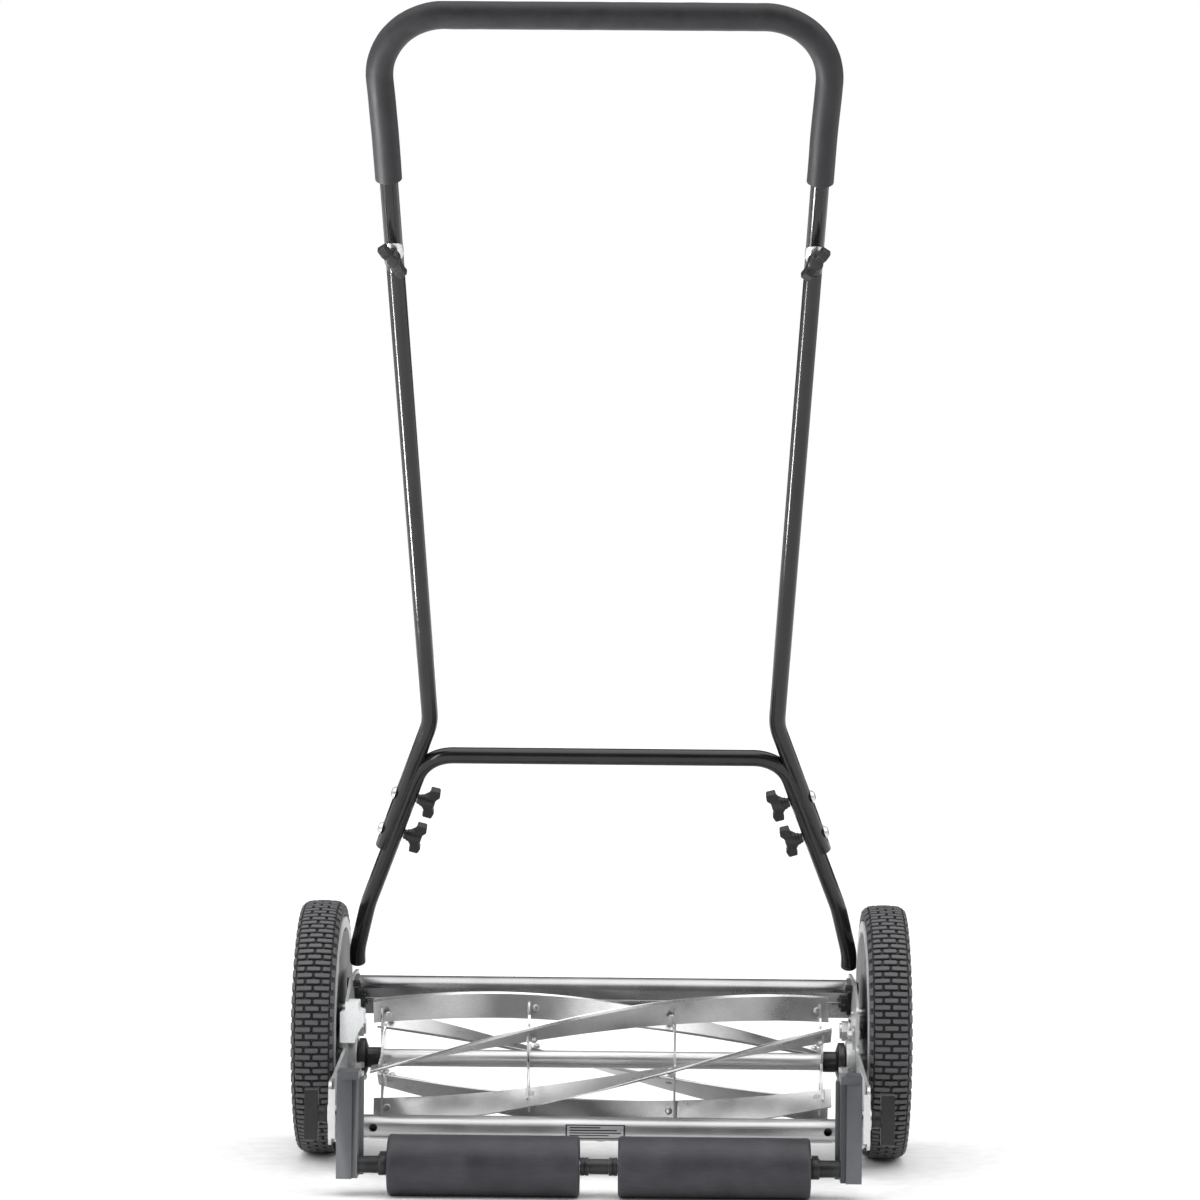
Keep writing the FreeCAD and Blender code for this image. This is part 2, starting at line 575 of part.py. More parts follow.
def reel_shaft():
    centre = (REEL_Y, REEL_Z)
    body = rod(-SHAFT_HALF, SHAFT_HALF, centre, SHAFT_R)
    for side in (-1, 1):
        slot_x = side * (GEAR_IN + GEAR_OUT) / 2
        half, thick = PAWL_HALF + LOOSE, PAWL_T / 2 + LOOSE
        reach = SHAFT_R + 3.5
        body = body.cut(box(slot_x - half, slot_x + half, REEL_Y - thick, REEL_Y + thick,
                            REEL_Z - reach, REEL_Z + reach))
        low, high = sorted((side * (PINION_CLIP_X - LOOSE), side * (PINION_CLIP_X + PINION_CLIP_T + LOOSE)))
        body = body.cut(rod(low, high, centre, SHAFT_R + 1, SHAFT_R - 1))
    return body


def pawl():
    """The drive key that slides across the shaft inside each pinion."""
    middle = (GEAR_IN + GEAR_OUT) / 2
    return box(middle - PAWL_HALF, middle + PAWL_HALF, REEL_Y - PAWL_T / 2, REEL_Y + PAWL_T / 2,
               REEL_Z - PAWL_REACH, REEL_Z + PAWL_REACH)


def pinion_clip():
    return rod(PINION_CLIP_X, PINION_CLIP_X + PINION_CLIP_T, (REEL_Y, REEL_Z), SHAFT_R + 3.2, SHAFT_R - 0.9)


def dust_washer():
    """A sleeve beside the outer spider that ends in a shallow dished disc."""
    bore = SHAFT_R + 0.05
    profile = [(WASHER_IN, bore), (WASHER_IN, WASHER_SLEEVE_R), (WASHER_RISE, WASHER_SLEEVE_R),
               (WASHER_RISE, WASHER_SLEEVE_R + 1.8), (WASHER_FACE, WASHER_R), (WASHER_OUT - 0.6, WASHER_R),
               (WASHER_OUT, WASHER_R - 2), (WASHER_OUT, bore)]
    return turned(profile, (REEL_Y, REEL_Z))


def pinion():
    centre = (REEL_Y, REEL_Z)
    pitch = MODULE * PINION_TEETH / 2
    thickness = math.pi * MODULE / 2 - BACKLASH
    wire = gear_wire(GEAR_IN, centre, PINION_TEETH, pitch + ADDENDUM, pitch - DEDENDUM, thickness,
                     mesh_angle() + math.pi / PINION_TEETH)
    body = Part.Face(wire).extrude(V(GEAR_OUT - GEAR_IN, 0, 0))
    body = body.cut(rod(GEAR_IN - 1, GEAR_OUT + 1, centre, SHAFT_R + RUNNING))
    return body.cut(rod(GEAR_IN + 2.5, GEAR_OUT - 2.5, centre, PAWL_REACH + 2))


# ---------------------------------------------------------------- cutter bar
def cutter_bar():
    body = rod(-BAR_HALF, BAR_HALF, BAR, BAR_R)
    hollow = BAR_HALF - BAR_END_T
    body = body.cut(rod(-hollow, hollow, BAR, BAR_R - BAR_WALL))
    for side in (-1, 1):
        x = side * BAR_HOLE_X
        body = body.cut(Part.makeCylinder(BAR_HOLE_R, BAR_R + 1, at(x, (BAR[0] - BAR_R - 1, BAR[1])), V(0, 1, 0)))
        end = side * (BAR_HALF - BAR_END_T / 2)
        body = body.cut(rod(end - 5, end + 5, BAR, BAR_BOLT_R + RUNNING))
    seat = KNIFE_LOW + KNIFE_T + 0.05
    body = body.cut(box(-KNIFE_HALF - 1, KNIFE_HALF + 1, BAR[0] - BAR_R, BAR[0] + BAR_R, seat - 5, seat))
    for x in KNIFE_SCREWS:
        body = body.cut(upright(x, BAR[0], seat - 1, seat + 3, KNIFE_SCREW_R + LOOSE))
    return body


def bar_bracket():
    """The ear on the end of the cutter bar. The adjuster moves its folded top."""
    outline = [(-143, 40), (-138, 29), (-116, 29), (-106, 44), (-96, 58), (-96, EAR_TOP), (-116, EAR_TOP),
               (-132, 60)]
    near, far = BAR_HALF + LOOSE, BAR_HALF + EAR_T + LOOSE
    ear = sheet(near, far, outline, 4)
    ear = ear.cut(rod(near - 1, far + 1, BAR, BAR_BOLT_R + RUNNING))
    ear = ear.cut(box(near - 1, far + 1, ADJUST_Y - 7.5, ADJUST_Y + 12, 40, EAR_TOP - EAR_T))
    fold = box(near, PLATE_IN - 1.2, ADJUST_Y - 14, ADJUST_Y + 8, EAR_TOP - EAR_T, EAR_TOP)
    return ear.fuse(fold).cut(upright(ADJUST_X, ADJUST_Y, EAR_TOP - 7, EAR_TOP + 3, ADJUST_R + 1.4))


def bar_bolt():
    """The bolt on which the cutter bar tips."""
    bolt = plate_bolt(BAR_HALF - BAR_END_T + 5 * LOOSE, BAR, BAR_BOLT_R, 8)
    return bolt.fuse(rod(BAR_HALF + EAR_T + 5 * LOOSE, PLATE_IN, BAR, 8))


def upright_hex(z0, z1, across):
    radius, middle = across / math.sqrt(3), at(ADJUST_X, (ADJUST_Y, z0))
    ring = [middle + V(radius * math.cos(math.radians(a)), radius * math.sin(math.radians(a)), 0)
            for a in range(0, 361, 60)]
    return Part.Face(Part.makePolygon(ring)).extrude(V(0, 0, z1 - z0))


def adjuster():
    """A screw through the plate's tab and the ear, with a nut above the tab and one below the ear."""
    screw = upright(ADJUST_X, ADJUST_Y, ADJUST_LOW, ADJUST_HIGH, ADJUST_R)
    seat = ADJUST_TAB + ADJUST_TAB_T + LOOSE
    nuts = [(seat, seat + 4.9), (ADJUST_HIGH - 5, ADJUST_HIGH), (ADJUST_LOW + 0.5, ADJUST_LOW + 5.5)]
    return screw.fuse([upright_hex(low, high, ADJUST_NUT) for low, high in nuts])


def adjuster_spring():
    """A short coil spring round the screw, under the tab."""
    helix = Part.makeLongHelix(SPRING_PITCH, SPRING_LENGTH, SPRING_R, 0)
    circle = Part.Wire(Part.makeCircle(WIRE_R, V(SPRING_R, 0, 0), V(0, 1, 0)))
    spring = Part.Wire(helix).makePipeShell([circle], True, True)
    spring.translate(at(ADJUST_X, (ADJUST_Y, SPRING_LOW)))
    return spring


def bed_knife():
    """The fixed blade: a flat strip with a raised lip that just clears the reel."""
    back, lip = BAR[0] - 7, REEL_Y + 4
    top = KNIFE_LOW + KNIFE_T
    section = [(back, KNIFE_LOW), (lip - 1.5, KNIFE_LOW), (lip, KNIFE_TOP), (lip - 6.5, KNIFE_TOP),
               (lip - 9.5, top), (back, top)]
    wire = Part.makePolygon([at(-KNIFE_HALF, p) for p in section + section[:1]])
    body = Part.Face(wire).extrude(V(2 * KNIFE_HALF, 0, 0))
    for x in KNIFE_SCREWS:
        body = body.cut(upright(x, BAR[0], KNIFE_LOW - 1, top + 1, KNIFE_SCREW_R + LOOSE))
    return body


def bed_knife_screws():
    pieces = []
    for x in KNIFE_SCREWS:
        shank = upright(x, BAR[0], KNIFE_LOW - 1, KNIFE_LOW + 5, KNIFE_SCREW_R)
        head = upright(x, BAR[0], KNIFE_LOW - 1.2, KNIFE_LOW - LOOSE, KNIFE_SCREW_HEAD_R)
        pieces.append(shank.fuse(head))
    return Part.makeCompound(pieces)


# ---------------------------------------------------------------- rear roller
def roller():
    """A moulded drum with rounded ends."""
    edge = 3.0
    inner = ROLLER_R - ROLLER_WALL
    profile = [(ROLLER_IN, inner), (ROLLER_IN, ROLLER_R - edge),
               (ROLLER_IN + edge * 0.3, ROLLER_R - edge * 0.3),
               (ROLLER_IN + edge, ROLLER_R), (ROLLER_OUT - edge, ROLLER_R),
               (ROLLER_OUT - edge * 0.3, ROLLER_R - edge * 0.3), (ROLLER_OUT, ROLLER_R - edge),
               (ROLLER_OUT, inner)]
    return turned(profile, ROLLER)


def roller_caps():
    """The discs that carry a drum on its axle."""
    radius = ROLLER_R - ROLLER_WALL - 0.15
    caps = []
    for x0 in (ROLLER_IN + 1, ROLLER_OUT - 7):
        caps.append(rod(x0, x0 + 6, ROLLER, radius, ROLLER_AXLE_R + RUNNING))
    return Part.makeCompound(caps)


def roller_axle():
    body = rod(-BRACKET_OUT + 5, BRACKET_OUT - 5, ROLLER, ROLLER_AXLE_R)
    for side in (-1, 1):
        low, high = sorted((side * (CLIP_X - LOOSE), side * (CLIP_X + CLIP_T + LOOSE)))
        body = body.cut(rod(low, high, ROLLER, ROLLER_AXLE_R + 1, ROLLER_AXLE_R - 0.8))
    return body


def roller_clip():
    return rod(CLIP_X, CLIP_X + CLIP_T, ROLLER, CLIP_R, ROLLER_AXLE_R - 0.7)


def roller_bush():
    bore, start = ROLLER_AXLE_R + 0.15, ROLLER_OUT + 4 * LOOSE
    flange = rod(start, BUSH_FLANGE_X, ROLLER, BUSH_FLANGE_R, bore)
    return flange.fuse(rod(start, BRACKET_IN - 2 * LOOSE, ROLLER, BUSH_SLEEVE_R, bore))


def roller_collar():
    return rod(SPACER_HALF + 2 * LOOSE, ROLLER_IN - 4 * LOOSE, ROLLER, COLLAR_END_R, ROLLER_AXLE_R + 0.15)


def roller_spacer():
    return rod(-SPACER_HALF, SPACER_HALF, ROLLER, SPACER_R, ROLLER_AXLE_R + 0.15)


def roller_bracket():
    """An upright channel with a stepped back and a cap, open to the front."""
    t = BRACKET_T
    low, high = BRACKET_LOW, BRACKET_HIGH
    deep = box(STEP_X, BRACKET_OUT, BRACKET_BACK, BRACKET_FRONT, low, high)
    strip = box(BRACKET_IN, STEP_X + t, STEP_Y, BRACKET_FRONT, low, high)
    body = deep.fuse(strip)
    hollow = box(STEP_X + t, BRACKET_OUT - t, BRACKET_BACK + t, BRACKET_FRONT + 1, low + t, high - t)
    hollow = hollow.fuse(box(BRACKET_IN + t, STEP_X + t, STEP_Y + t, BRACKET_FRONT + 1, low + t, high - t))
    lip = box(BRACKET_IN - 4, BRACKET_IN + t, BRACKET_FRONT - t, BRACKET_FRONT, low, high - 8)
    cap = box(BRACKET_IN - 1, BRACKET_OUT, BRACKET_BACK - 1.5, BRACKET_FRONT, high - CAP_T, high)
    upright_edges = [e for e in cap.Edges
                     if abs(e.Length - CAP_T) < 0.01 and e.CenterOfMass.y < WHEEL_Y + BRACKET_BACK]
    body = body.fuse([lip, cap.makeFillet(1.2, upright_edges)]).cut(hollow)
    body = body.cut(rod(BRACKET_IN - 1, BRACKET_IN + 5, ROLLER, ROLLER_AXLE_R + LOOSE))
    return body.cut(rod(BRACKET_OUT - 5, BRACKET_OUT + 1, SLIDE, PIVOT_BOLT_R + LOOSE))


def height_bolt():
    bolt = rod(BRACKET_OUT - 7, KNOB_BORE - 0.5, SLIDE, PIVOT_BOLT_R)
    return bolt.fuse(hexagon(BRACKET_OUT - 8, BRACKET_OUT - BRACKET_T - LOOSE, SLIDE, 13))


def height_washers():
    """A washer under the knob, and a spacer between the bracket and the plate."""
    bore, start = PIVOT_BOLT_R + LOOSE, PLATE_OUT + 3 * LOOSE
    return [rod(start, start + WASHER_T, SLIDE, KNOB_STEM_R + 1, bore),
            rod(BRACKET_OUT + 2 * LOOSE, PLATE_IN - 3 * LOOSE, SLIDE, KNOB_STEM_R, bore)]


def height_knob():
    """A moulded T-shaped knob."""
    stem = rod(PLATE_OUT + WASHER_T + 6 * LOOSE, KNOB_X + 1.5, SLIDE, KNOB_STEM_R)
    outline = [(-8, -10), (-6.5, -24.5), (6.5, -24.5), (8, -10), (8, 10), (6.5, 24.5), (-6.5, 24.5), (-8, 10)]
    bar = sheet(KNOB_X, KNOB_OUT, [(SLIDE[0] + y, SLIDE[1] + z) for y, z in outline], 3)
    return stem.fuse(bar).cut(rod(PLATE_IN, KNOB_BORE, SLIDE, PIVOT_BOLT_R + RUNNING))


# ---------------------------------------------------------------- handle
def on_handle(x, s, off=0.0):
    """A point x from the centre plane, s up the handle and off behind its plane."""
    return at(x, (PIVOT[0] - s * math.cos(LEAN) - off * math.sin(LEAN),
                  PIVOT[1] + s * math.sin(LEAN) - off * math.cos(LEAN)))


def path(points, radii):
    """Straight runs joined by tangent arcs, in the handle's plane."""
    edges = []
    last = on_handle(*points[0])
    for i in range(1, len(points) - 1):
        before, corner, after = (on_handle(*points[j]) for j in (i - 1, i, i + 1))
        a, b = (before - corner), (after - corner)
        half = a.getAngle(b) / 2
        a.normalize()
        b.normalize()
        reach = radii[i - 1] / math.tan(half)
        middle = a + b
        middle.normalize()
        centre = corner + middle * (radii[i - 1] / math.sin(half))
        start, end = corner + a * reach, corner + b * reach
        edges.append(Part.makeLine(last, start))
        edges.append(Part.Arc(start, centre - middle * radii[i - 1], end).toShape())
        last = end
    edges.append(Part.makeLine(last, on_handle(*points[-1])))
    return Part.Wire(edges)


def swept(wire, radius):
    """A round bar along a wire."""
    first = wire.OrderedEdges[0]
    start = wire.OrderedVertexes[0].Point
    along = first.tangentAt(first.FirstParameter)
    return wire.makePipeShell([Part.Wire(Part.makeCircle(radius, start, along))], True, False)


def tube(points, radii, radius=TUBE_R, bore=TUBE_R - TUBE_WALL):
    wire = path(points, radii)
    return swept(wire, radius).cut(swept(wire, bore))


LEG_STEP = (KNEE_HALF - CROSS_HALF) / (CROSS_S - KNEE_S)     # how fast a leg spreads below the cross bar


def leg_half(s):
    return CROSS_HALF + (CROSS_S - s) * LEG_STEP


LOWER_BENDS = [90, 150, CROSS_BEND, CROSS_BEND, 150, 90]
UPPER_BENDS = [400, TOP_BEND, TOP_BEND, 400]


def lower_points(first):
    half = [(FOOT_HALF - 1.5, first), (FOOT_HALF - 1.5, 66), (KNEE_HALF, KNEE_S), (CROSS_HALF, CROSS_S)]
    return half + [(-x, s) for x, s in reversed(half)]


def foot():
    """The flattened end of a leg, with the pivot's hole."""
    x0, x1 = FOOT_HALF - STRAP_T / 2, FOOT_HALF + STRAP_T / 2
    top = STRAP_TOP
    a, b = on_handle(x0, 0, -STRAP_W / 2), on_handle(x0, top, -STRAP_W / 2)
    c, d = on_handle(x0, top, STRAP_W / 2), on_handle(x0, 0, STRAP_W / 2)
    arc = Part.Arc(d, on_handle(x0, -STRAP_W / 2), a).toShape()
    wire = Part.Wire([Part.makeLine(a, b), Part.makeLine(b, c), Part.makeLine(c, d), arc])
    strap = Part.Face(wire).extrude(V(STRAP_T, 0, 0))
    across = on_handle(0, 0, 1) - on_handle(0, 0, 0)
    sections = []
    for s, shift, half_t, half_w in ((top - 5, -1.0, STRAP_T / 2 + 1, STRAP_W / 2), (32, -2.3, 4.2, 10.6),
                                     (43, -3.4, 5.6, 9.6), (TUBE_FOOT + 3, -1.5, COLLAR_R, COLLAR_R)):
        centre = on_handle(FOOT_HALF + shift, s)
        ring = []
        for i in range(24):
            angle = 2 * math.pi * i / 24
            ring.append(centre + V(half_t * math.cos(angle), 0, 0) + across * (half_w * math.sin(angle)))
        curve = Part.BSplineCurve()
        curve.interpolate(ring, PeriodicFlag=True)
        sections.append(Part.Wire(curve.toShape()))
    swell = Part.makeLoft(sections, True, False)
    return strap.fuse(swell).cut(rod(x0 - 1, x1 + 1, PIVOT, PIVOT_BOLT_R + RUNNING))


def clamp_axis(s):
    """Where a clamp bolt crosses the right leg, and the outward direction square to the leg."""
    centre = on_handle(leg_half(s), s)
    along = on_handle(leg_half(s + 1), s + 1) - centre
    normal = on_handle(0, 0, 1) - on_handle(0, 0, 0)
    outward = along.cross(normal)
    outward.normalize()
    if outward.x < 0:
        outward = outward * -1
    return centre, outward


def clamp_holes():
    holes = []
    for s in KNOB_S:
        centre, outward = clamp_axis(s)
        holes.append(Part.makeCylinder(CLAMP_R + LOOSE, 60, centre - outward * 30, outward))
    return holes


def lower_handle():
    body = tube(lower_points(TUBE_FOOT), LOWER_BENDS)
    for shape in (foot(), flip(foot())):
        body = body.fuse(shape)
    for hole in clamp_holes():
        body = body.cut([hole, flip(hole)])
    return body


def join_half(s):
    """Half the distance between the straight parts of the middle tubes and the upper handle."""
    knee = leg_half(KINK_S) + nest_shift()
    return JOIN_HALF + (s - JOIN_S) * (JOIN_HALF - knee) / (JOIN_S - KINK_S)


def nest_shift():
    return NEST / math.cos(math.atan(LEG_STEP))


def middle_tube():
    """Its lower end is pressed into a crescent that hugs the leg of the lower handle."""
    low = (leg_half(MIDDLE_FOOT_S) + nest_shift(), MIDDLE_FOOT_S)
    knee = (join_half(KINK_S), KINK_S)
    body = tube([low, knee, (join_half(MIDDLE_TOP_S), MIDDLE_TOP_S)], [60])
    leg = swept(path(lower_points(TUBE_FOOT), LOWER_BENDS), TUBE_R + NEST_GAP)
    spigot = straight(MIDDLE_TOP_S - 12, MIDDLE_TOP_S + 40)
    seat = straight(MIDDLE_TOP_S - 12, MIDDLE_TOP_S - 1)
    bore = swept(spigot, SPIGOT_R - TUBE_WALL)
    body = body.cut(leg).fuse([swept(spigot, SPIGOT_R).cut(bore), swept(seat, TUBE_R - 1).cut(bore)])
    for hole in clamp_holes() + [join_hole()]:
        body = body.cut(hole)
    solids = sorted(body.Solids, key=lambda s: s.Volume)
    return solids[-1]


def straight(low, high):
    """A straight run along the middle tube's upper part, from one height to another."""
    return Part.Wire(Part.makeLine(on_handle(join_half(low), low), on_handle(join_half(high), high)))


def join_hole():
    start = on_handle(join_half(JOIN_S), JOIN_S, -20)
    return Part.makeCylinder(CLAMP_R + LOOSE, 40, start, on_handle(0, 0, 1) - on_handle(0, 0, 0))


def upper_points(first):
    bend = TOP_S - TOP_SPREAD
    half = [(join_half(first), first), (join_half(bend), bend), (TOP_HALF, TOP_S)]
    return half + [(-x, s) for x, s in reversed(half)]


def upper_handle():
    body = tube(upper_points(JOIN_S - 20.7), UPPER_BENDS)
    hole = join_hole()
    return body.cut([hole, flip(hole)])


def grip():
    """A foam sleeve over the top of the handle."""
    wire = path(upper_points(GRIP_S), UPPER_BENDS)
    body = swept(wire, GRIP_R).cut(swept(wire, TUBE_R + LOOSE))
    ends = [e for e in body.Edges if abs(e.Length - 2 * math.pi * GRIP_R) < 0.5 and e.isClosed()
            and abs(e.CenterOfMass.z - on_handle(0, GRIP_S).z) < 5]
    return body.makeFillet(2.5, ends)


def clamp_bolts():
    """Dome-headed bolts: the head is outside and the thread ends inside a wing knob."""
    pieces = []
    for s in KNOB_S:
        centre, outward = clamp_axis(s)
        under = NEST + TUBE_R + LOOSE
        shank = Part.makeCylinder(CLAMP_R, 41, centre + outward * (under - 39.1), outward)
        head = Part.makeCone(CLAMP_HEAD_R, 3.8, CLAMP_HEAD_T, centre + outward * under, outward)
        pieces.append(shank.fuse(head))
    return pieces


def join_bolt():
    back = on_handle(0, 0, 1) - on_handle(0, 0, 0)
    centre = on_handle(join_half(JOIN_S), JOIN_S)
    top = TUBE_R + LOOSE + CLAMP_HEAD_T
    shank = Part.makeCylinder(CLAMP_R, 30, centre - back * (top - LOOSE), back)
    return shank.fuse(Part.makeCone(3.8, CLAMP_HEAD_R, CLAMP_HEAD_T, centre - back * top, back))


def join_washer():
    """A curved washer between the tube and the wing knob."""
    back = on_handle(0, 0, 1) - on_handle(0, 0, 0)
    centre = on_handle(join_half(JOIN_S), JOIN_S)
    disc = Part.makeCylinder(CURVED_WASHER_R, 7, centre + back * 3.5, back)
    disc = disc.cut(Part.makeCylinder(CLAMP_R + LOOSE, 12, centre, back))
    run = straight(JOIN_S - 20, JOIN_S + 20)
    return disc.common(swept(run, TUBE_R + 1.4)).cut(swept(run, TUBE_R + LOOSE))


def wing_knob(start, axis, wing):
    """A hub and two wings. It starts at a point and stands along axis; wing is the wings' direction."""
    side = axis.cross(wing)
    hub = Part.makeCone(4.6, 7.0, 11, start, axis)
    outline = [(-16, 9.5), (-9.5, 9.5), (-6, 6), (6, 6), (9.5, 9.5), (16, 9.5), (16.5, 19), (9.5, 20),
               (6, 17.5), (-6, 17.5), (-9.5, 20), (-16.5, 19)]
    ring = [start + wing * w + axis * h - side * 4 for w, h in outline]
    body = hub.fuse(Part.Face(rounded(ring, 2)).extrude(side * 8))
    return body.cut(Part.makeCylinder(CLAMP_R + RUNNING, 17.5, start - axis * 0.5, axis))


def clamp_knob(s):
    centre, outward = clamp_axis(s)
    along = on_handle(leg_half(s + 1), s + 1) - centre
    along.normalize()
    return wing_knob(centre - outward * (TUBE_R + 0.5), outward * -1, along)


def join_knob():
    back = on_handle(0, 0, 1) - on_handle(0, 0, 0)
    up = on_handle(0, 1) - on_handle(0, 0)
    wing = up * math.cos(math.radians(35)) + V(math.sin(math.radians(35)), 0, 0)
    return wing_knob(on_handle(join_half(JOIN_S), JOIN_S) + back * (TUBE_R + 1.7), back, wing)


# ---------------------------------------------------------------- all pieces
def group(shapes):
    """Fasteners of one side, repeated on the other, as separate solids in one node."""
    return Part.makeCompound([both(shape) for shape in shapes])


def main():
    os.makedirs("parts", exist_ok=True)
    pairs = {"tyre": tyre(), "wheel_hub": wheel_hub(), "wheel_bush": wheel_bush(), "hub_cap": hub_cap(),
             "side_plate": side_plate(), "pinion": pinion(), "roller": roller(), "roller_caps": roller_caps(),
             "roller_bracket": roller_bracket(), "height_knob": height_knob(), "middle_tube": middle_tube(),
             "join_knob": join_knob()}
    for name, shape in pairs.items():
        save_pair(name, shape)
    for number, s in enumerate(KNOB_S, 1):
        save_pair("clamp_knob_%d" % number, clamp_knob(s))
    for k in range(BLADES):
        save("blade_%d" % (k + 1), blade(k))
    singles = {"front_tie_bar": tie_bar(), "white_cover": white_cover(), "reel_shaft": reel_shaft(),
               "spiders": Part.makeCompound([spider(x) for x in SPIDERS]), "blade_rivets": blade_rivets(),
               "cutter_bar": cutter_bar(), "bed_knife": bed_knife(), "bed_knife_screws": bed_knife_screws(),
               "roller_axle": roller_axle(), "lower_handle": lower_handle(), "upper_handle": upper_handle(),
               "grip": grip()}
    for name, shape in singles.items():
        save(name, shape)
    groups = {"dust_shields": [dust_shield()], "shield_screws": shield_screws() + shield_spacers(),
              "axle_stubs": [axle_stub()], "axle_fasteners": [axle_nut(), axle_clip()],
              "plate_bolts": tie_bolts() + housing_bolts() + [bar_bolt()],
              "pivot_bolts": [pivot_bolt(), handle_stop()], "bearing_housings": [bearing_housing()],
              "reel_bearings": [reel_bearing()], "drive_pawls": [pawl(), pinion_clip()],
              "dust_washers": [dust_washer()], "bar_brackets": [bar_bracket()],
              "bar_adjusters": [adjuster(), adjuster_spring()],
              "roller_fasteners": [height_bolt(), roller_clip()] + height_washers(),
              "handle_bolts": clamp_bolts() + [join_bolt(), join_washer()]}
    for name, shapes in groups.items():
        save(name, group(shapes))
    save("roller_bushes", Part.makeCompound([group([roller_bush(), roller_collar()]), roller_spacer()]))


if __name__ == "__main__":
    main()
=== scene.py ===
"""Looks of the push reel mower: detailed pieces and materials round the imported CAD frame, in metres."""

import json
import math

import bmesh
import bpy
from mathutils import Matrix, Vector, noise


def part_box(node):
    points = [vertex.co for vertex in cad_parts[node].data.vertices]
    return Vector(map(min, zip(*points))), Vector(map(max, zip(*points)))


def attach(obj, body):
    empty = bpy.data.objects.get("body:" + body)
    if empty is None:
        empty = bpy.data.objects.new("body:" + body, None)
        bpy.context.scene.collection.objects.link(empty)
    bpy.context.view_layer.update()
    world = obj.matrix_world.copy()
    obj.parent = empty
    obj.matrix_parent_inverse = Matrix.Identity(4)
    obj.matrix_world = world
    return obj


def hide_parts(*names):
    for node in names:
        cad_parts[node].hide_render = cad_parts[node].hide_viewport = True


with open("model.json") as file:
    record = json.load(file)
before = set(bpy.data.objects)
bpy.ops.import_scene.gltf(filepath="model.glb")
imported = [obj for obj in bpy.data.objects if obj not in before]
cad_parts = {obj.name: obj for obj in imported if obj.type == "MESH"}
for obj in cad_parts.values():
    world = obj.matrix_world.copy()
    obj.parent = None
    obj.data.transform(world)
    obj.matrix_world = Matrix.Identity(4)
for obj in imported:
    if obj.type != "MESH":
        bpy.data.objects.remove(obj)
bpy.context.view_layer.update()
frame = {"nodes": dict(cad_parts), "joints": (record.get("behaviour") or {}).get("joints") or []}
NODES = frame["nodes"]
MM = 0.001

# ---------------------------------------------------------------- places read from the frame
JOINTS = {j["name"]: j for j in frame["joints"]}


def middle(node):
    low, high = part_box(node)
    return (low + high) / 2


AXLE = middle("right_tyre")
TYRE_R = (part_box("right_tyre")[1].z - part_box("right_tyre")[0].z) / 2
REEL = middle("reel_shaft")
ROLLER = middle("right_roller")
ROLLER_R = (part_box("right_roller")[1].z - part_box("right_roller")[0].z) / 2
BAR = middle("cutter_bar")
BAR_R = (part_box("cutter_bar")[1].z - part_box("cutter_bar")[0].z) / 2
PIVOT = Vector(JOINTS["handle_fold"]["pos_m"])
GRIP_R = 12 * MM
TOP = Vector((0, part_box("grip")[0].y + GRIP_R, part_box("grip")[1].z - GRIP_R))
TOP_S = (TOP - PIVOT).length
UP = (TOP - PIVOT).normalized()               # up along the handle
BACK = Vector((0, -UP.z, UP.y))               # out of the handle's plane, towards the operator's feet
if BACK.z > 0:
    BACK = -BACK


# ---------------------------------------------------------------- materials
def new_tree(name):
    mat = bpy.data.materials.new(name)
    mat.use_nodes = True
    tree = mat.node_tree
    return mat, tree, tree.nodes["Principled BSDF"]


def add(tree, kind, **values):
    node = tree.nodes.new(kind)
    for key, value in values.items():
        if key in node.inputs:
            node.inputs[key].default_value = value
        else:
            setattr(node, key, value)
    return node


def coordinates(tree, stretch=(1, 1, 1)):
    place = add(tree, "ShaderNodeTexCoord")
    mapping = add(tree, "ShaderNodeMapping")
    mapping.inputs["Scale"].default_value = stretch
    tree.links.new(place.outputs["Object"], mapping.inputs["Vector"])
    return mapping.outputs["Vector"]


def noise_node(tree, vector, scale, detail):
    node = add(tree, "ShaderNodeTexNoise", Scale=scale, Detail=detail, Roughness=0.55)
    tree.links.new(vector, node.inputs["Vector"])
    return node.outputs["Fac"]


def ramp(tree, source, stops):
    """A two-stop colour ramp."""
    node = add(tree, "ShaderNodeValToRGB")
    for element, (place, colour) in zip(node.color_ramp.elements, stops):
        element.position = place
        element.color = (*colour, 1)
    tree.links.new(source, node.inputs["Fac"])
    return node.outputs["Color"]


def spread(tree, source, low, high, out_low, out_high):
    """Maps low to high onto out_low to out_high."""
    node = add(tree, "ShaderNodeMapRange")
    for key, value in (("From Min", low), ("From Max", high), ("To Min", out_low), ("To Max", out_high)):
        node.inputs[key].default_value = value
    tree.links.new(source, node.inputs["Value"])
    return node.outputs["Result"]


def blend_colour(tree, factor, first, second):
    """Mixes two colours, each a tuple or a socket."""
    node = add(tree, "ShaderNodeMix", data_type="RGBA", blend_type="MIX")
    tree.links.new(factor, node.inputs[0])
    for socket, colour in ((node.inputs[6], first), (node.inputs[7], second)):
        if isinstance(colour, tuple):
            socket.default_value = (*colour, 1)
        else:
            tree.links.new(colour, socket)
    return node.outputs[2]


def bumped(tree, shader, layers):
    """Stacks bump layers, each a (source, strength, distance) triple."""
    last = None
    for source, strength, distance in layers:
        node = add(tree, "ShaderNodeBump", Strength=strength, Distance=distance)
        tree.links.new(source, node.inputs["Height"])
        if last:
            tree.links.new(last, node.inputs["Normal"])
        last = node.outputs["Normal"]
    tree.links.new(last, shader.inputs["Normal"])


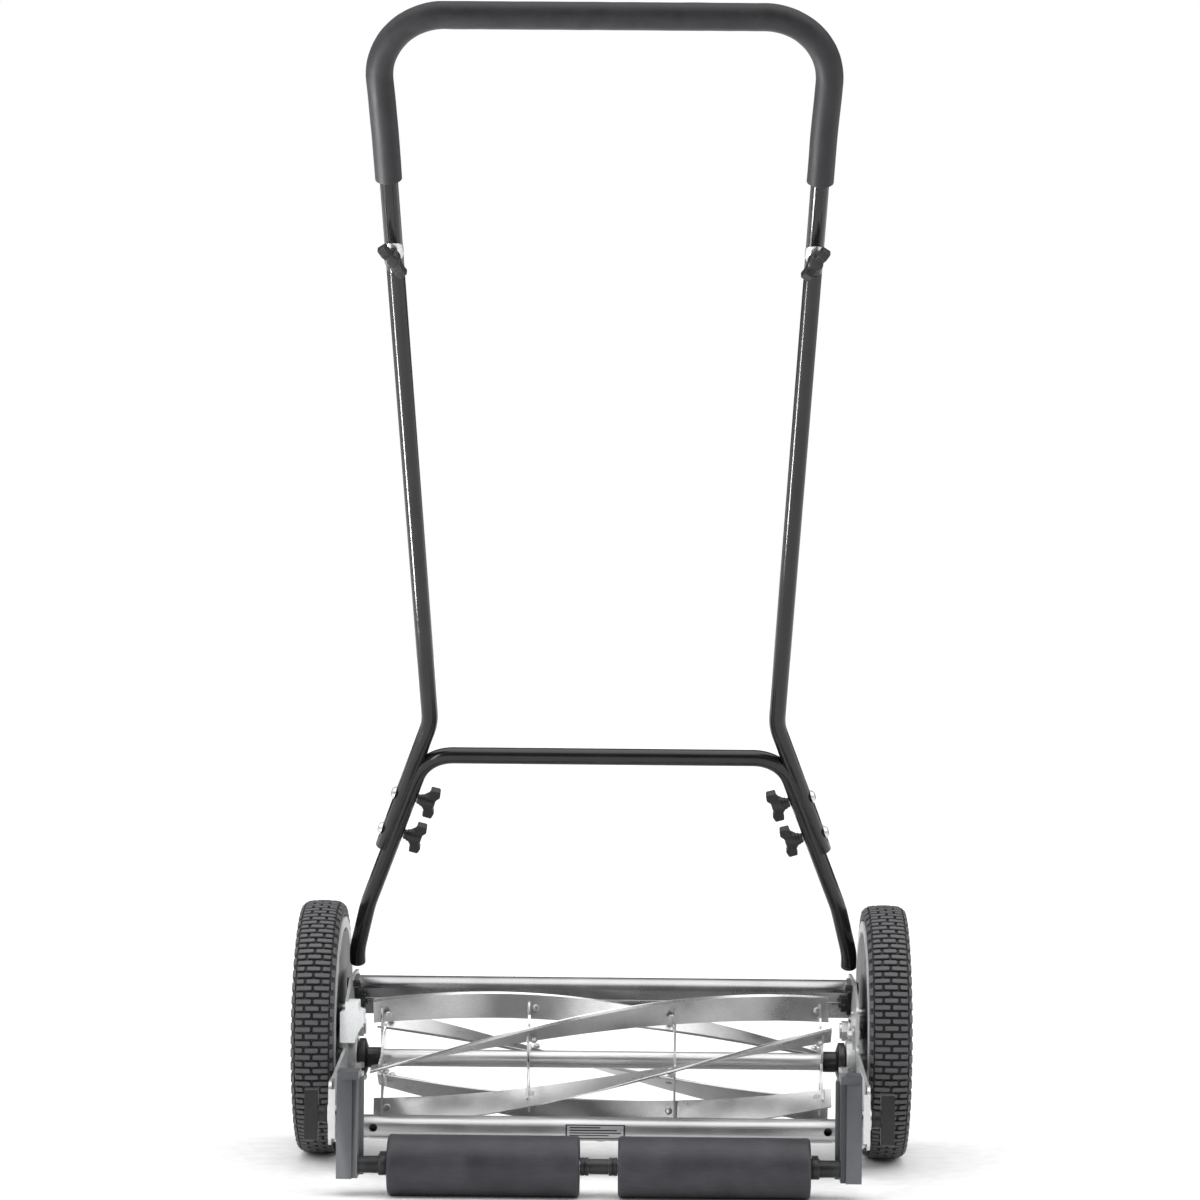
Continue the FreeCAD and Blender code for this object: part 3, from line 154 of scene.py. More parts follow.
def surface(name, dark, light, rough, metallic=0.0, mottle=25.0, grain=900.0, stretch=(1, 1, 1), bump=0.15,
            depth=0.0004, wear=None, specular=0.5, rough_swing=0.12):
    """Cloudy colour, cloudy gloss, fine grain in the bump, and rubbed edges where wear is given."""
    mat, tree, shader = new_tree(name)
    place = coordinates(tree)
    grained = coordinates(tree, stretch)
    cloud = noise_node(tree, place, mottle, 5.0)
    fine = noise_node(tree, grained, grain, 3.0)
    colour = ramp(tree, cloud, [(0.3, dark), (0.7, light)])
    speck = spread(tree, fine, 0.3, 0.7, 0.0, 0.35)
    colour = blend_colour(tree, speck, colour, tuple(c * 0.72 for c in dark))
    if wear:
        edge = add(tree, "ShaderNodeNewGeometry").outputs["Pointiness"]
        edge_wear_and_highlight = spread(tree, edge, 0.53, 0.60, 0.0, 0.55)
        colour = blend_colour(tree, edge_wear_and_highlight, colour, wear)
    tree.links.new(colour, shader.inputs["Base Color"])
    gloss = spread(tree, cloud, 0.25, 0.75, rough - rough_swing / 2, rough + rough_swing / 2)
    tree.links.new(gloss, shader.inputs["Roughness"])
    shader.inputs["Metallic"].default_value = metallic
    shader.inputs["Specular IOR Level"].default_value = specular
    bumped(tree, shader, [(fine, bump, depth), (cloud, bump * 0.4, depth)])
    return mat


def foam_material():
    mat, tree, shader = new_tree("foam")
    place = coordinates(tree)
    pores = add(tree, "ShaderNodeTexVoronoi", Scale=1500.0)
    tree.links.new(place, pores.inputs["Vector"])
    hole = spread(tree, pores.outputs["Distance"], 0.1, 0.55, 0.0, 1.0)
    cloud = noise_node(tree, place, 60.0, 6.0)
    colour = ramp(tree, cloud, [(0.3, (0.012, 0.0118, 0.0135)), (0.7, (0.024, 0.0235, 0.027))])
    colour = blend_colour(tree, hole, (0.007, 0.007, 0.008), colour)
    tree.links.new(colour, shader.inputs["Base Color"])
    tree.links.new(spread(tree, cloud, 0.2, 0.8, 0.42, 0.58), shader.inputs["Roughness"])
    shader.inputs["Specular IOR Level"].default_value = 0.28
    shader.inputs["Sheen Weight"].default_value = 0.05
    bumped(tree, shader, [(hole, 0.25, 0.0003), (cloud, 0.2, 0.001)])
    return mat


def tyre_material(name, dark, light, edge_wear_and_highlight):
    mat, tree, shader = new_tree(name)
    place = coordinates(tree)
    cloud = noise_node(tree, place, 35.0, 6.0)
    fine = noise_node(tree, place, 1400.0, 3.0)
    colour = ramp(tree, cloud, [(0.3, dark), (0.72, light)])
    edge = add(tree, "ShaderNodeNewGeometry").outputs["Pointiness"]
    # sharp edges painted lighter: a painted highlight along the block edges
    colour = blend_colour(tree, spread(tree, edge, 0.5, 0.6, 0.0, 0.6), colour, edge_wear_and_highlight)
    # hollows and creases painted near black: painted shade
    colour = blend_colour(tree, spread(tree, edge, 0.42, 0.49, 1.0, 0.0), colour, (0.008, 0.008, 0.009))
    tree.links.new(colour, shader.inputs["Base Color"])
    tree.links.new(spread(tree, cloud, 0.2, 0.8, 0.5, 0.72), shader.inputs["Roughness"])
    bumped(tree, shader, [(fine, 0.3, 0.0003), (cloud, 0.2, 0.0008)])
    return mat


def brushed(name, dark, light, rough):
    """Metal with fine lines from side to side."""
    return surface(name, dark, light, rough, 0.9, mottle=18.0, grain=1040.0, stretch=(0.02, 1.0, 1.0),
                   bump=0.12, depth=0.0002, wear=(0.75, 0.75, 0.76))


MATERIALS = {
    # the last colour given to tyre_material is painted onto sharp edges as a highlight
    "tyre": tyre_material("tyre_rubber", (0.016, 0.017, 0.020), (0.044, 0.044, 0.049), (0.13, 0.13, 0.135)),
    # the same rubber much darker for the groove floors: painted shade in the grooves
    "tyre_groove_shade": tyre_material(
        "tyre_groove_shade", (0.006, 0.006, 0.007), (0.014, 0.014, 0.015), (0.03, 0.03, 0.03)),
    "foam": foam_material(),
    "black_paint": surface(
        "black_powder_coat", (0.006, 0.006, 0.0065), (0.012, 0.0115, 0.013), 0.17, mottle=40.0, grain=700.0,
        bump=0.04, wear=(0.07, 0.07, 0.075), specular=0.42, rough_swing=0.06),
    "grey_paint": surface(
        "slate_powder_coat", (0.034, 0.038, 0.044), (0.060, 0.064, 0.072), 0.40, mottle=40.0, grain=700.0,
        bump=0.14, wear=(0.24, 0.25, 0.26)),
    "silver_paint": brushed("silver_steel", (0.38, 0.38, 0.385), (0.52, 0.52, 0.525), 0.38),
    "tie_steel": brushed("tie_steel", (0.22, 0.22, 0.225), (0.33, 0.33, 0.335), 0.27),
    "blade": surface(
        "blade_steel", (0.33, 0.325, 0.33), (0.50, 0.49, 0.495), 0.31, 0.9, mottle=30.0, grain=650.0,
        stretch=(0.25, 1, 1), bump=0.25, wear=(0.8, 0.8, 0.8)),
    "ground": brushed("ground_edge", (0.55, 0.55, 0.56), (0.75, 0.75, 0.76), 0.25),
    "steel": brushed("turned_steel", (0.46, 0.46, 0.465), (0.62, 0.62, 0.62), 0.36),
    "zinc": surface(
        "zinc_plate", (0.50, 0.50, 0.49), (0.74, 0.74, 0.75), 0.30, 0.85, mottle=70.0, grain=500.0,
        bump=0.10, wear=(0.9, 0.9, 0.9)),
    "plate": surface(
        "galvanised_plate", (0.42, 0.425, 0.43), (0.62, 0.625, 0.63), 0.40, 0.7, mottle=55.0, grain=260.0,
        bump=0.12, wear=(0.8, 0.8, 0.8)),
    "hub": surface(
        "grey_nylon", (0.40, 0.41, 0.42), (0.50, 0.51, 0.52), 0.40, mottle=12.0, grain=800.0, bump=0.08,
        wear=(0.62, 0.62, 0.63)),
    "roller": surface(
        "roller_plastic", (0.026, 0.026, 0.031), (0.052, 0.051, 0.060), 0.46, mottle=30.0, grain=550.0,
        stretch=(0.12, 1, 1), bump=0.22, wear=(0.13, 0.13, 0.14), specular=0.3),
    "black_plastic": surface(
        "black_nylon", (0.010, 0.010, 0.011), (0.020, 0.020, 0.022), 0.40, mottle=35.0, grain=600.0,
        bump=0.18, wear=(0.06, 0.06, 0.065), specular=0.35),
    "washer": surface(
        "dark_washer", (0.022, 0.022, 0.024), (0.050, 0.050, 0.053), 0.34, 0.6, mottle=40.0, grain=600.0,
        bump=0.12, wear=(0.16, 0.16, 0.165)),
    "shield": surface(
        "shield_plastic", (0.018, 0.018, 0.020), (0.034, 0.034, 0.036), 0.46, mottle=25.0, grain=700.0,
        bump=0.15, wear=(0.07, 0.07, 0.075)),
    "white": surface(
        "white_abs", (0.88, 0.91, 0.92), (0.94, 0.96, 0.97), 0.34, mottle=20.0, grain=600.0, bump=0.05),
    "bronze": surface(
        "sintered_bronze", (0.30, 0.20, 0.09), (0.46, 0.33, 0.17), 0.45, 0.9, mottle=80.0, grain=1200.0,
        bump=0.3),
    "sinter": surface(
        "sintered_steel", (0.09, 0.09, 0.095), (0.16, 0.16, 0.165), 0.50, 0.8, mottle=60.0, grain=1200.0,
        bump=0.3, wear=(0.4, 0.4, 0.4)),
    "label_dark": surface(
        "label_border", (0.012, 0.012, 0.013), (0.02, 0.02, 0.021), 0.4, grain=900.0, bump=0.03),
    "label_light": surface(
        "label_field", (0.42, 0.42, 0.43), (0.50, 0.50, 0.51), 0.38, 0.5, grain=900.0, bump=0.03),
}

NODE_MATERIAL = {
    "wheel_hub": "hub", "wheel_bush": "bronze", "hub_cap": "black_plastic", "side_plate": "plate",
    "pinion": "sinter", "roller_caps": "roller", "roller_bracket": "grey_paint", "middle_tube": "black_paint",
    "front_tie_bar": "tie_steel", "white_cover": "white", "reel_shaft": "steel", "spiders": "zinc",
    "cutter_bar": "silver_paint", "bed_knife": "steel", "bed_knife_screws": "zinc", "roller_axle": "steel",
    "lower_handle": "black_paint", "upper_handle": "black_paint", "dust_shields": "shield",
    "shield_screws": "zinc", "axle_stubs": "steel", "axle_fasteners": "zinc", "plate_bolts": "zinc",
    "pivot_bolts": "black_paint", "bearing_housings": "plate", "reel_bearings": "steel",
    "drive_pawls": "sinter", "dust_washers": "washer", "bar_brackets": "zinc", "bar_adjusters": "zinc",
    "roller_bushes": "black_plastic", "roller_fasteners": "zinc", "handle_bolts": "zinc",
    "tyre": "tyre", "roller": "roller", "height_knob": "black_plastic", "join_knob": "black_plastic",
    "blade_rivets": "zinc", "grip": "foam",
}


# width of each kind's soft edges, in mm
SOFT_EDGE = 0.35
EDGE = {"side_plate": 0.5, "white_cover": 1.2, "wheel_hub": 0.3, "roller_bracket": 0.6,
        "bearing_housings": 0.8}


def kind_of(node):
    """A node's name without its side, the six wing knobs being one kind."""
    for side in ("left_", "right_"):
        if node.startswith(side):
            node = node[len(side):]
    if node.startswith("clamp_knob"):
        return "join_knob"
    return node


def dress_cad():
    """Gives every CAD node its material and soft edges."""
    for name, obj in NODES.items():
        kind = kind_of(name)
        mat = MATERIALS["blade"] if kind.startswith("blade_") and kind != "blade_rivets" \
            else MATERIALS[NODE_MATERIAL[kind]]
        obj.material_slots[0].material = mat
        weld = obj.modifiers.new("weld", "WELD")
        weld.merge_threshold = 0.01 * MM
        bevel = obj.modifiers.new("soft_edges", "BEVEL")
        bevel.width = EDGE.get(kind, SOFT_EDGE) * MM
        bevel.segments = 2
        bevel.limit_method = "ANGLE"
        bevel.angle_limit = math.radians(38)
        bevel.use_clamp_overlap = True


def shade(obj, angle):
    """Smooth shading, with creases kept sharp."""
    for polygon in obj.data.polygons:
        polygon.use_smooth = True
    obj.data.set_sharp_from_angle(angle=math.radians(angle))


# ---------------------------------------------------------------- mesh helpers
def piece(name, build, body, material, replaces, angle=32, bevel=0.0):
    """Makes an object from a bmesh, puts it on its body and hides the CAD nodes it stands for."""
    mesh = bpy.data.meshes.new(name)
    bmesh.ops.recalc_face_normals(build, faces=build.faces)
    build.to_mesh(mesh)
    build.free()
    obj = bpy.data.objects.new(name, mesh)
    bpy.context.scene.collection.objects.link(obj)
    for key in ([material] if isinstance(material, str) else material):
        mesh.materials.append(MATERIALS[key])
    if bevel:
        mod = obj.modifiers.new("edges", "BEVEL")
        mod.width = bevel
        mod.segments = 3
        mod.limit_method = "ANGLE"
        mod.angle_limit = math.radians(30)
    shade(obj, angle)
    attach(obj, body)
    if replaces:
        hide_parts(*replaces)
    return obj


def ring(build, points):
    """A loop of vertices."""
    return [build.verts.new(p) for p in points]


def bridge(build, first, second, material=0):
    """Faces between two closed loops with equal counts."""
    count = len(first)
    for i in range(count):
        face = build.faces.new((first[i], first[(i + 1) % count], second[(i + 1) % count], second[i]))
        face.material_index = material


def cap(build, loop):
    build.faces.new(loop)


def lathe(build, profile, centre, axis, segments, closed=True):
    """Turns (along, radius) corners about an axis. A closed profile makes a ring; an open one is capped."""
    axis = Vector(axis).normalized()
    side = axis.orthogonal().normalized()
    other = axis.cross(side)
    rings = []
    for along, radius in profile:
        loop = []
        for i in range(segments):
            a = 2 * math.pi * i / segments
            loop.append(centre + axis * along + (side * math.cos(a) + other * math.sin(a)) * radius)
        rings.append(ring(build, loop))
    for i in range(len(rings) - 1):
        bridge(build, rings[i], rings[i + 1])
    if closed:
        bridge(build, rings[-1], rings[0])
    else:
        cap(build, rings[0])
        cap(build, list(reversed(rings[-1])))


def prism(build, outline, depth):
    """Extrudes a closed outline of points by a vector."""
    first = ring(build, outline)
    second = ring(build, [p + depth for p in outline])
    bridge(build, first, second)
    cap(build, list(reversed(first)))
    cap(build, second)


def along_path(corners, bends, step):
    """Points along straight runs joined by arcs."""
    points = [corners[0]]
    for i in range(1, len(corners) - 1):
        before, corner, after = corners[i - 1], corners[i], corners[i + 1]
        a, b = (before - corner).normalized(), (after - corner).normalized()
        half = a.angle(b) / 2
        bend = bends[i - 1]
        reach = bend / math.tan(half)
        centre = corner + (a + b).normalized() * (bend / math.sin(half))
        start, end = corner + a * reach, corner + b * reach
        turn = (start - centre).angle(end - centre)
        normal = (start - centre).cross(end - centre)
        count = max(2, round(turn * bend / step))
        points += [centre + Matrix.Rotation(turn * k / count, 3, normal) @ (start - centre)
                   for k in range(count + 1)]
    points.append(corners[-1])
    dense = [points[0]]
    for p, q in zip(points, points[1:]):
        count = max(1, round((q - p).length / (3 * step)))
        dense += [p.lerp(q, k / count) for k in range(1, count + 1)]
    return dense


def sweep(build, points, radius, segments, square):
    """A tube's surface along points that lie in one plane, whose normal is square."""
    rings = []
    for i, p in enumerate(points):
        tangent = (points[min(i + 1, len(points) - 1)] - points[max(i - 1, 0)]).normalized()
        aside = tangent.cross(square).normalized()
        rings.append(ring(build, [p + (aside * math.cos(2 * math.pi * k / segments)
                                       + square * math.sin(2 * math.pi * k / segments)) * radius
                                  for k in range(segments)]))
    for first, second in zip(rings, rings[1:]):
        bridge(build, first, second)
    return rings


# ---------------------------------------------------------------- wheels
TREAD_ROWS = 116
TREAD_DEPTH = 3.2 * MM
# from where to where the blocks of a row go, in mm from the middle, for the two kinds of row
TREAD_LAYOUTS = (((-16.4, -0.8), (0.8, 16.4)), ((-16.4, -8.6), (-6.9, 6.9), (8.6, 16.4)))
TREAD_HALF = 18.4 * MM                         # half the tread's width
BLOCK_SHARE, LUG_SHARE = 0.76, 0.62            # shares of the pitch
SHOULDER_X = 17.6 * MM
RIM_R = 104.1 * MM


def crown(x):
    """Radius of the tread's top at a distance from the tyre's middle."""
    return TYRE_R - 1.6 * MM * (abs(x) / (17 * MM)) ** 2.5


def tread_block(build, centre, x0, x1, a0, a1, foot):
    """A raised block with cut corners, sloping sides and a soft top edge."""
    cut = 0.9 * MM
    loops = []
    for share, inset in ((0.0, 0.0), (0.75, 0.28 * MM), (1.0, 0.75 * MM)):
        loop = []
        for x, a, dx, da in ((x0, a0, cut, 0), (x1, a0, -cut, 0), (x1, a0, 0, cut), (x1, a1, 0, -cut),
                             (x1, a1, -cut, 0), (x0, a1, cut, 0), (x0, a1, 0, -cut), (x0, a0, 0, cut)):
            x_in = x + dx + math.copysign(inset, (x0 + x1) / 2 - x)
            a_in = a + (da + math.copysign(inset, (a0 + a1) / 2 - a)) / TYRE_R
            radius = foot + (crown(x_in) - foot) * share
            loop.append(centre + Vector((x_in, radius * math.cos(a_in), radius * math.sin(a_in))))
        loops.append(ring(build, loop))
    for first, second in zip(loops, loops[1:]):
        bridge(build, first, second)
    cap(build, loops[-1])


def shoulder_lug(build, centre, side, a0, a1):
    """A wedge that wraps from the tread's edge down the sidewall."""
    spots = ((SHOULDER_X, crown(SHOULDER_X) - 0.6 * MM), (20.8 * MM, TYRE_R - 5.2 * MM),
             (20.9 * MM, TYRE_R - 12 * MM), (19.2 * MM, TYRE_R - 12 * MM), (17.0 * MM, TYRE_R - 5 * MM))
    loops = []
    for a, shrink in ((a0, 0.0), (a0 + (a1 - a0) * 0.18, 1.0), (a1 - (a1 - a0) * 0.18, 1.0), (a1, 0.0)):
        loop = []
        for i, (x, radius) in enumerate(spots):
            if shrink == 0.0 and i < 2:
                radius -= 0.7 * MM
            loop.append(centre + Vector((side * x, radius * math.cos(a), radius * math.sin(a))))
        loops.append(ring(build, loop))
    for first, second in zip(loops, loops[1:]):
        bridge(build, first, second)
    cap(build, list(reversed(loops[0])))
    cap(build, loops[-1])


def tyre(side):
    """A moulded tyre with staggered blocks, shoulder lugs and a parting line round the middle."""
    name = "right_tyre" if side > 0 else "left_tyre"
    centre = middle(name)
    low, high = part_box(name)
    inner = (low.x if side > 0 else high.x) - centre.x
    build = bmesh.new()
    foot = TYRE_R - TREAD_DEPTH
    wall = abs(inner) - 0.3 * MM
    flip = -side                                   # the wheel's inner face points to the centre plane
    section = [(wall - 3.3 * MM, RIM_R), (wall - 3.3 * MM, RIM_R + 7 * MM), (wall, RIM_R + 8.5 * MM),
               (wall, foot - 9 * MM), (wall - 1.2 * MM, foot - 3.5 * MM),
               (TREAD_HALF * 0.93, foot - 0.9 * MM), (TREAD_HALF * 0.5, foot), (0, foot + 0.15 * MM),
               (-TREAD_HALF * 0.5, foot), (-TREAD_HALF * 0.93, foot - 0.9 * MM),
               (1.2 * MM - wall, foot - 3.5 * MM), (-wall, foot - 9 * MM),
               (-wall, RIM_R + 7.5 * MM), (1.5 * MM - wall, RIM_R + 5.5 * MM), (3 * MM - wall, RIM_R)]
    lathe(build, [(flip * x, r) for x, r in section], centre, (1, 0, 0), segments=192)
    seam_r = TYRE_R - 2.2 * MM
    seam = [(-0.35 * MM, foot), (-0.2 * MM, seam_r), (0.2 * MM, seam_r), (0.35 * MM, foot)]
    lathe(build, seam, centre, (1, 0, 0), segments=192)
    pitch = 2 * math.pi / TREAD_ROWS
    for row in range(TREAD_ROWS):
        a0 = row * pitch
        a1 = a0 + pitch * BLOCK_SHARE
        for x0, x1 in TREAD_LAYOUTS[row % 2]:
            tread_block(build, centre, x0 * MM, x1 * MM, a0, a1, foot - 0.6 * MM)
        for hand in (-1, 1):
            shift = pitch * (0.35 if row % 2 else -0.1)
            shoulder_lug(build, centre, hand, a0 + shift, a0 + shift + pitch * LUG_SHARE)
    # faces down in the grooves take the darker groove rubber: painted shade
    for face in build.faces:
        spot = face.calc_center_median() - centre
        if math.hypot(spot.y, spot.z) < TYRE_R - 1.9 * MM and abs(spot.x) < TREAD_HALF:
            face.material_index = 1
    piece(name + "_treaded", build, name.replace("tyre", "wheel"), ["tyre", "tyre_groove_shade"], [name],
          angle=28)


# ---------------------------------------------------------------- reel
BLADE_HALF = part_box("blade_1")[1].x
BLADE_OUT, BLADE_IN, BLADE_T = 66 * MM, 40 * MM, 3 * MM
TWIST = math.radians(115)
BLADE_START = math.radians(-5.5)
BLADE_COUNT = 5
BLADE_STEPS = 110
SPIDER_X = (-216.6 * MM, -72.2 * MM, 72.2 * MM, 216.6 * MM)
RIVET_R, RIVET_STEP = 50 * MM, 5 * MM           # from the shaft, and beside the spider towards the middle


def blade_angle(x, k):
    """Where blade k stands round the shaft at x."""
    return BLADE_START + 2 * math.pi * k / BLADE_COUNT + TWIST * (x + BLADE_HALF) / (2 * BLADE_HALF)


def polar(x, radius, aside, angle):
    """A point by its radius from the reel's shaft and its offset square to that radius."""
    return Vector((x, REEL.y - radius * math.cos(angle) + aside * math.sin(angle),
                   REEL.z + radius * math.sin(angle) + aside * math.cos(angle)))


def blade(k):
    """A twisted strip with rounded edges and a ground bevel along its outer edge."""
    build = bmesh.new()
    t = BLADE_T / 2
    section = [(BLADE_IN + 0.5 * MM, -t), (BLADE_IN, -t + 0.5 * MM), (BLADE_IN, t - 0.5 * MM),
               (BLADE_IN + 0.5 * MM, t), (BLADE_OUT - 0.3 * MM, t), (BLADE_OUT, t - 0.3 * MM),
               (BLADE_OUT, -t + 1.4 * MM), (BLADE_OUT - 2.2 * MM, -t)]
    loops = []
    for i in range(BLADE_STEPS + 1):
        x = -BLADE_HALF + 2 * BLADE_HALF * i / BLADE_STEPS
        a = blade_angle(x, k)
        loops.append(ring(build, [polar(x, r, s, a) for r, s in section]))
    for first, second in zip(loops, loops[1:]):
        bridge(build, first, second)
        for face in list(build.faces)[-4:-1]:
            face.material_index = 1
    cap(build, list(reversed(loops[0])))
    cap(build, loops[-1])
    node = "blade_%d" % (k + 1)
    piece(node + "_ground", build, "reel", ["blade", "ground"], [node], angle=24)


def rivet_frame(x, k):
    """The middle of blade k at x, and the way square to its face."""
    a = blade_angle(x, k)
    start = polar(x, RIVET_R, 0, a)
    across = polar(x, RIVET_R, 1, a) - start - Vector((TWIST / (2 * BLADE_HALF) * RIVET_R, 0, 0))
    return start, across.normalized()


def hex_nut(build, base, axis, across, height, turn):
    """A six-sided nut with a chamfered outer end."""
    side = axis.orthogonal().normalized()
    other = axis.cross(side)
    radius = across / math.sqrt(3)
    loops = []
    for h, scale in ((0, 1), (height * 0.8, 1), (height, 0.86)):
        loop = []
        for i in range(6):
            a = turn + math.pi * i / 3
            loop.append(base + axis * h + (side * math.cos(a) + other * math.sin(a)) * radius * scale)
        loops.append(ring(build, loop))
    bridge(build, loops[0], loops[1])
    bridge(build, loops[1], loops[2])
    cap(build, list(reversed(loops[0])))
    cap(build, loops[2])


def dome(build, base, axis, radius, height, rounds=4, segments=20):
    """A low domed head."""
    profile = [(0, radius)]
    for i in range(1, rounds + 1):
        a = math.pi / 2 * i / rounds
        profile.append((height * math.sin(a), max(radius * math.cos(a), radius * 0.05)))
    lathe(build, profile, base, axis, segments, closed=False)


def rivets():
    """A low head before each blade at each spider, and a nut on its thread end behind."""
    build = bmesh.new()
    t = BLADE_T / 2
    for x in SPIDER_X:
        for k in range(BLADE_COUNT):
            start, across = rivet_frame(x - math.copysign(RIVET_STEP, x), k)
            dome(build, start + across * t, across, 3.9 * MM, 0.8 * MM)
            back = -across
            foot = start + back * (t + 2.6 * MM)
            hex_nut(build, foot, back, 6.3 * MM, 2.9 * MM, turn=k + 3 * x)
            thread = [(0, 2.3 * MM), (3.6 * MM, 2.3 * MM), (3.9 * MM, 1.9 * MM)]
            lathe(build, thread, foot, back, 16, closed=False)
    piece("blade_bolts", build, "reel", "blade", ["blade_rivets"])


# ---------------------------------------------------------------- rollers
def roller(side):
    """A moulded drum with soft ends and shallow wear."""
    name = "right_roller" if side > 0 else "left_roller"
    low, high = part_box(name)
    centre = Vector((0, ROLLER.y, ROLLER.z))
    edge = 3.4 * MM
    build = bmesh.new()
    length = high.x - low.x
    profile = [(low.x, ROLLER_R - 4 * MM)]
    turns = [math.pi / 2 * i / 6 for i in range(7)]
    arc = [(edge * (1 - math.sin(a)), edge * (1 - math.cos(a))) for a in turns]
    profile += [(low.x + along, ROLLER_R - drop) for along, drop in reversed(arc)]
    for i in range(1, 24):
        x = low.x + edge + (length - 2 * edge) * i / 24
        dip = 0.10 * MM * noise.noise(Vector((x * 30, side * 5, 0)))
        profile.append((x, ROLLER_R - 0.12 * MM + dip))
    profile += [(high.x - along, ROLLER_R - drop) for along, drop in arc]
    profile.append((high.x, ROLLER_R - 4 * MM))
    lathe(build, profile, centre, (1, 0, 0), segments=96)
    piece(name + "_drum", build, name + "_drum", "roller", [name], angle=40)


def roller_bushes():
    """Flanged bushes beside the brackets, ribbed collars and a spacer in the middle."""
    build = bmesh.new()
    centre = Vector((0, ROLLER.y, ROLLER.z))
    bore = 6.2 * MM
    for side in (-1, 1):
        bush = [(198.4, 7.9), (198.6, 9.6), (199.4, 10), (206, 10), (206.8, 9.5), (207, 8.2), (214, 8),
                (225.6, 8)]
        profile = [(side * x * MM, r * MM) for x, r in bush]
        profile += [(side * 225.6 * MM, bore), (side * 198.4 * MM, bore)]
        lathe(build, profile, centre, (1, 0, 0), 48)
        tab = [centre + Vector((side * 199.5 * MM, y * MM, z * MM)) for y, z in
               ((-3, 8), (3, 8), (2.6, 12.2), (-2.6, 12.2))]
        prism(build, tab, Vector((side * 6 * MM, 0, 0)))
        collar = [(9.3, 7.6), (9.6, 8.5), (12.6, 8.5), (12.9, 8.0), (13.5, 8.0), (13.8, 8.5), (17.2, 8.5),
                  (17.5, 7.8)]
        profile = [(side * x * MM, r * MM) for x, r in collar]
        profile += [(side * 17.5 * MM, bore), (side * 9.3 * MM, bore)]
        lathe(build, profile, centre, (1, 0, 0), 48)
    spacer = [(-9.1, 6.9), (-8.8, 7.2), (8.8, 7.2), (9.1, 6.9), (9.1, 6.2), (-9.1, 6.2)]
    lathe(build, [(x * MM, r * MM) for x, r in spacer], centre, (1, 0, 0), 48)
    piece("axle_bushes", build, "roller_frame", "black_plastic", ["roller_bushes"])


# ---------------------------------------------------------------- knobs
def wing_knob(name, body, start, axis, wing, node):
    """A moulded wing nut: a stepped hub and two wings that spread like a T."""
    build = bmesh.new()
    side = axis.cross(wing).normalized()
    hub = [(0.0, 3.2), (0.0, 4.3), (0.4, 4.8), (2.8, 4.8), (3.1, 5.8), (5.6, 6.0), (5.9, 6.9), (9.0, 7.2),
           (16.0, 6.6), (17.0, 5.4), (17.4, 3.2)]
    lathe(build, [(a * MM, r * MM) for a, r in hub], start, axis, 28, closed=False)
    for hand in (-1, 1):
        outline = [(2.0, 6.4), (6.0, 6.6), (9.0, 9.4), (12.0, 9.9), (15.4, 9.6), (16.3, 10.6), (16.6, 17.6),
                   (15.8, 18.9), (10.2, 19.9), (8.9, 19.2), (6.4, 17.2), (2.0, 16.6)]
        thick = [4.4, 4.4, 4.2, 4.1, 4.0, 4.0, 3.8, 3.7, 3.7, 3.8, 4.1, 4.2]
        front, back = [], []
        for (w, h), t in zip(outline, thick):      # t is half the thickness
            spot = start + wing * (hand * w * MM) + axis * (h * MM)
            front.append(spot + side * (t * MM))
            back.append(spot - side * (t * MM))
        first, second = ring(build, front), ring(build, back)
        bridge(build, first, second)
        cap(build, list(reversed(first)))
        cap(build, second)
    piece(name, build, body, "black_plastic", [node], bevel=1.1 * MM, angle=40)


def on_handle(x, s, off=0.0):
    """A point x from the centre plane, s up the handle and off behind its plane."""
    return Vector((x, 0, 0)) + Vector((0, PIVOT.y, PIVOT.z)) + UP * s + BACK * off


LEG_TOP = (171.9 * MM, 308 * MM)              # half width and height of the lower handle's corners
LEG_FOOT = (233 * MM, 125 * MM)
LEG_STEP = (LEG_FOOT[0] - LEG_TOP[0]) / (LEG_TOP[1] - LEG_FOOT[1])
ELBOW = (165.7 * MM, 347 * MM)                # half width and height of the middle tubes' elbows
CLAMP_S = (215 * MM, 258 * MM)                # heights of the clamp knobs
JOIN_S, JOIN_HALF = 859 * MM, 184.5 * MM      # height and half width of the joins
JOIN_TURN = math.radians(35)                  # the upper wings' turn from the handle's slope
TUBE_R = 8 * MM


def clamp_frame(side, s):
    """A point on the lower handle's leg, the way up along it and the way out across it."""
    half = LEG_TOP[0] + (LEG_TOP[1] - s) * LEG_STEP
    centre = on_handle(side * half, s)
    along = (on_handle(side * (half - LEG_STEP * MM), s + MM) - centre).normalized()
    outward = along.cross(BACK).normalized()
    if outward.x * side < 0:
        outward = -outward
    return centre, along, outward


def knobs():
    """The wing knobs and the height knobs of both sides."""
    for side, word in ((-1, "left"), (1, "right")):
        for number, s in enumerate(CLAMP_S, 1):
            centre, along, outward = clamp_frame(side, s)
            wing_knob("%s_clamp_wing_nut_%d" % (word, number), "%s_clamp_wing_%d" % (word, number),
                      centre - outward * (TUBE_R + 0.5 * MM), -outward, along,
                      "%s_clamp_knob_%d" % (word, number))
        wing = UP * math.cos(JOIN_TURN) + Vector((side * math.sin(JOIN_TURN), 0, 0))
        wing_knob("%s_join_wing_nut" % word, "%s_join_wing" % word,
                  on_handle(side * JOIN_HALF, JOIN_S, TUBE_R + 1.7 * MM), BACK, wing, "%s_join_knob" % word)
        height_knob(side, word)


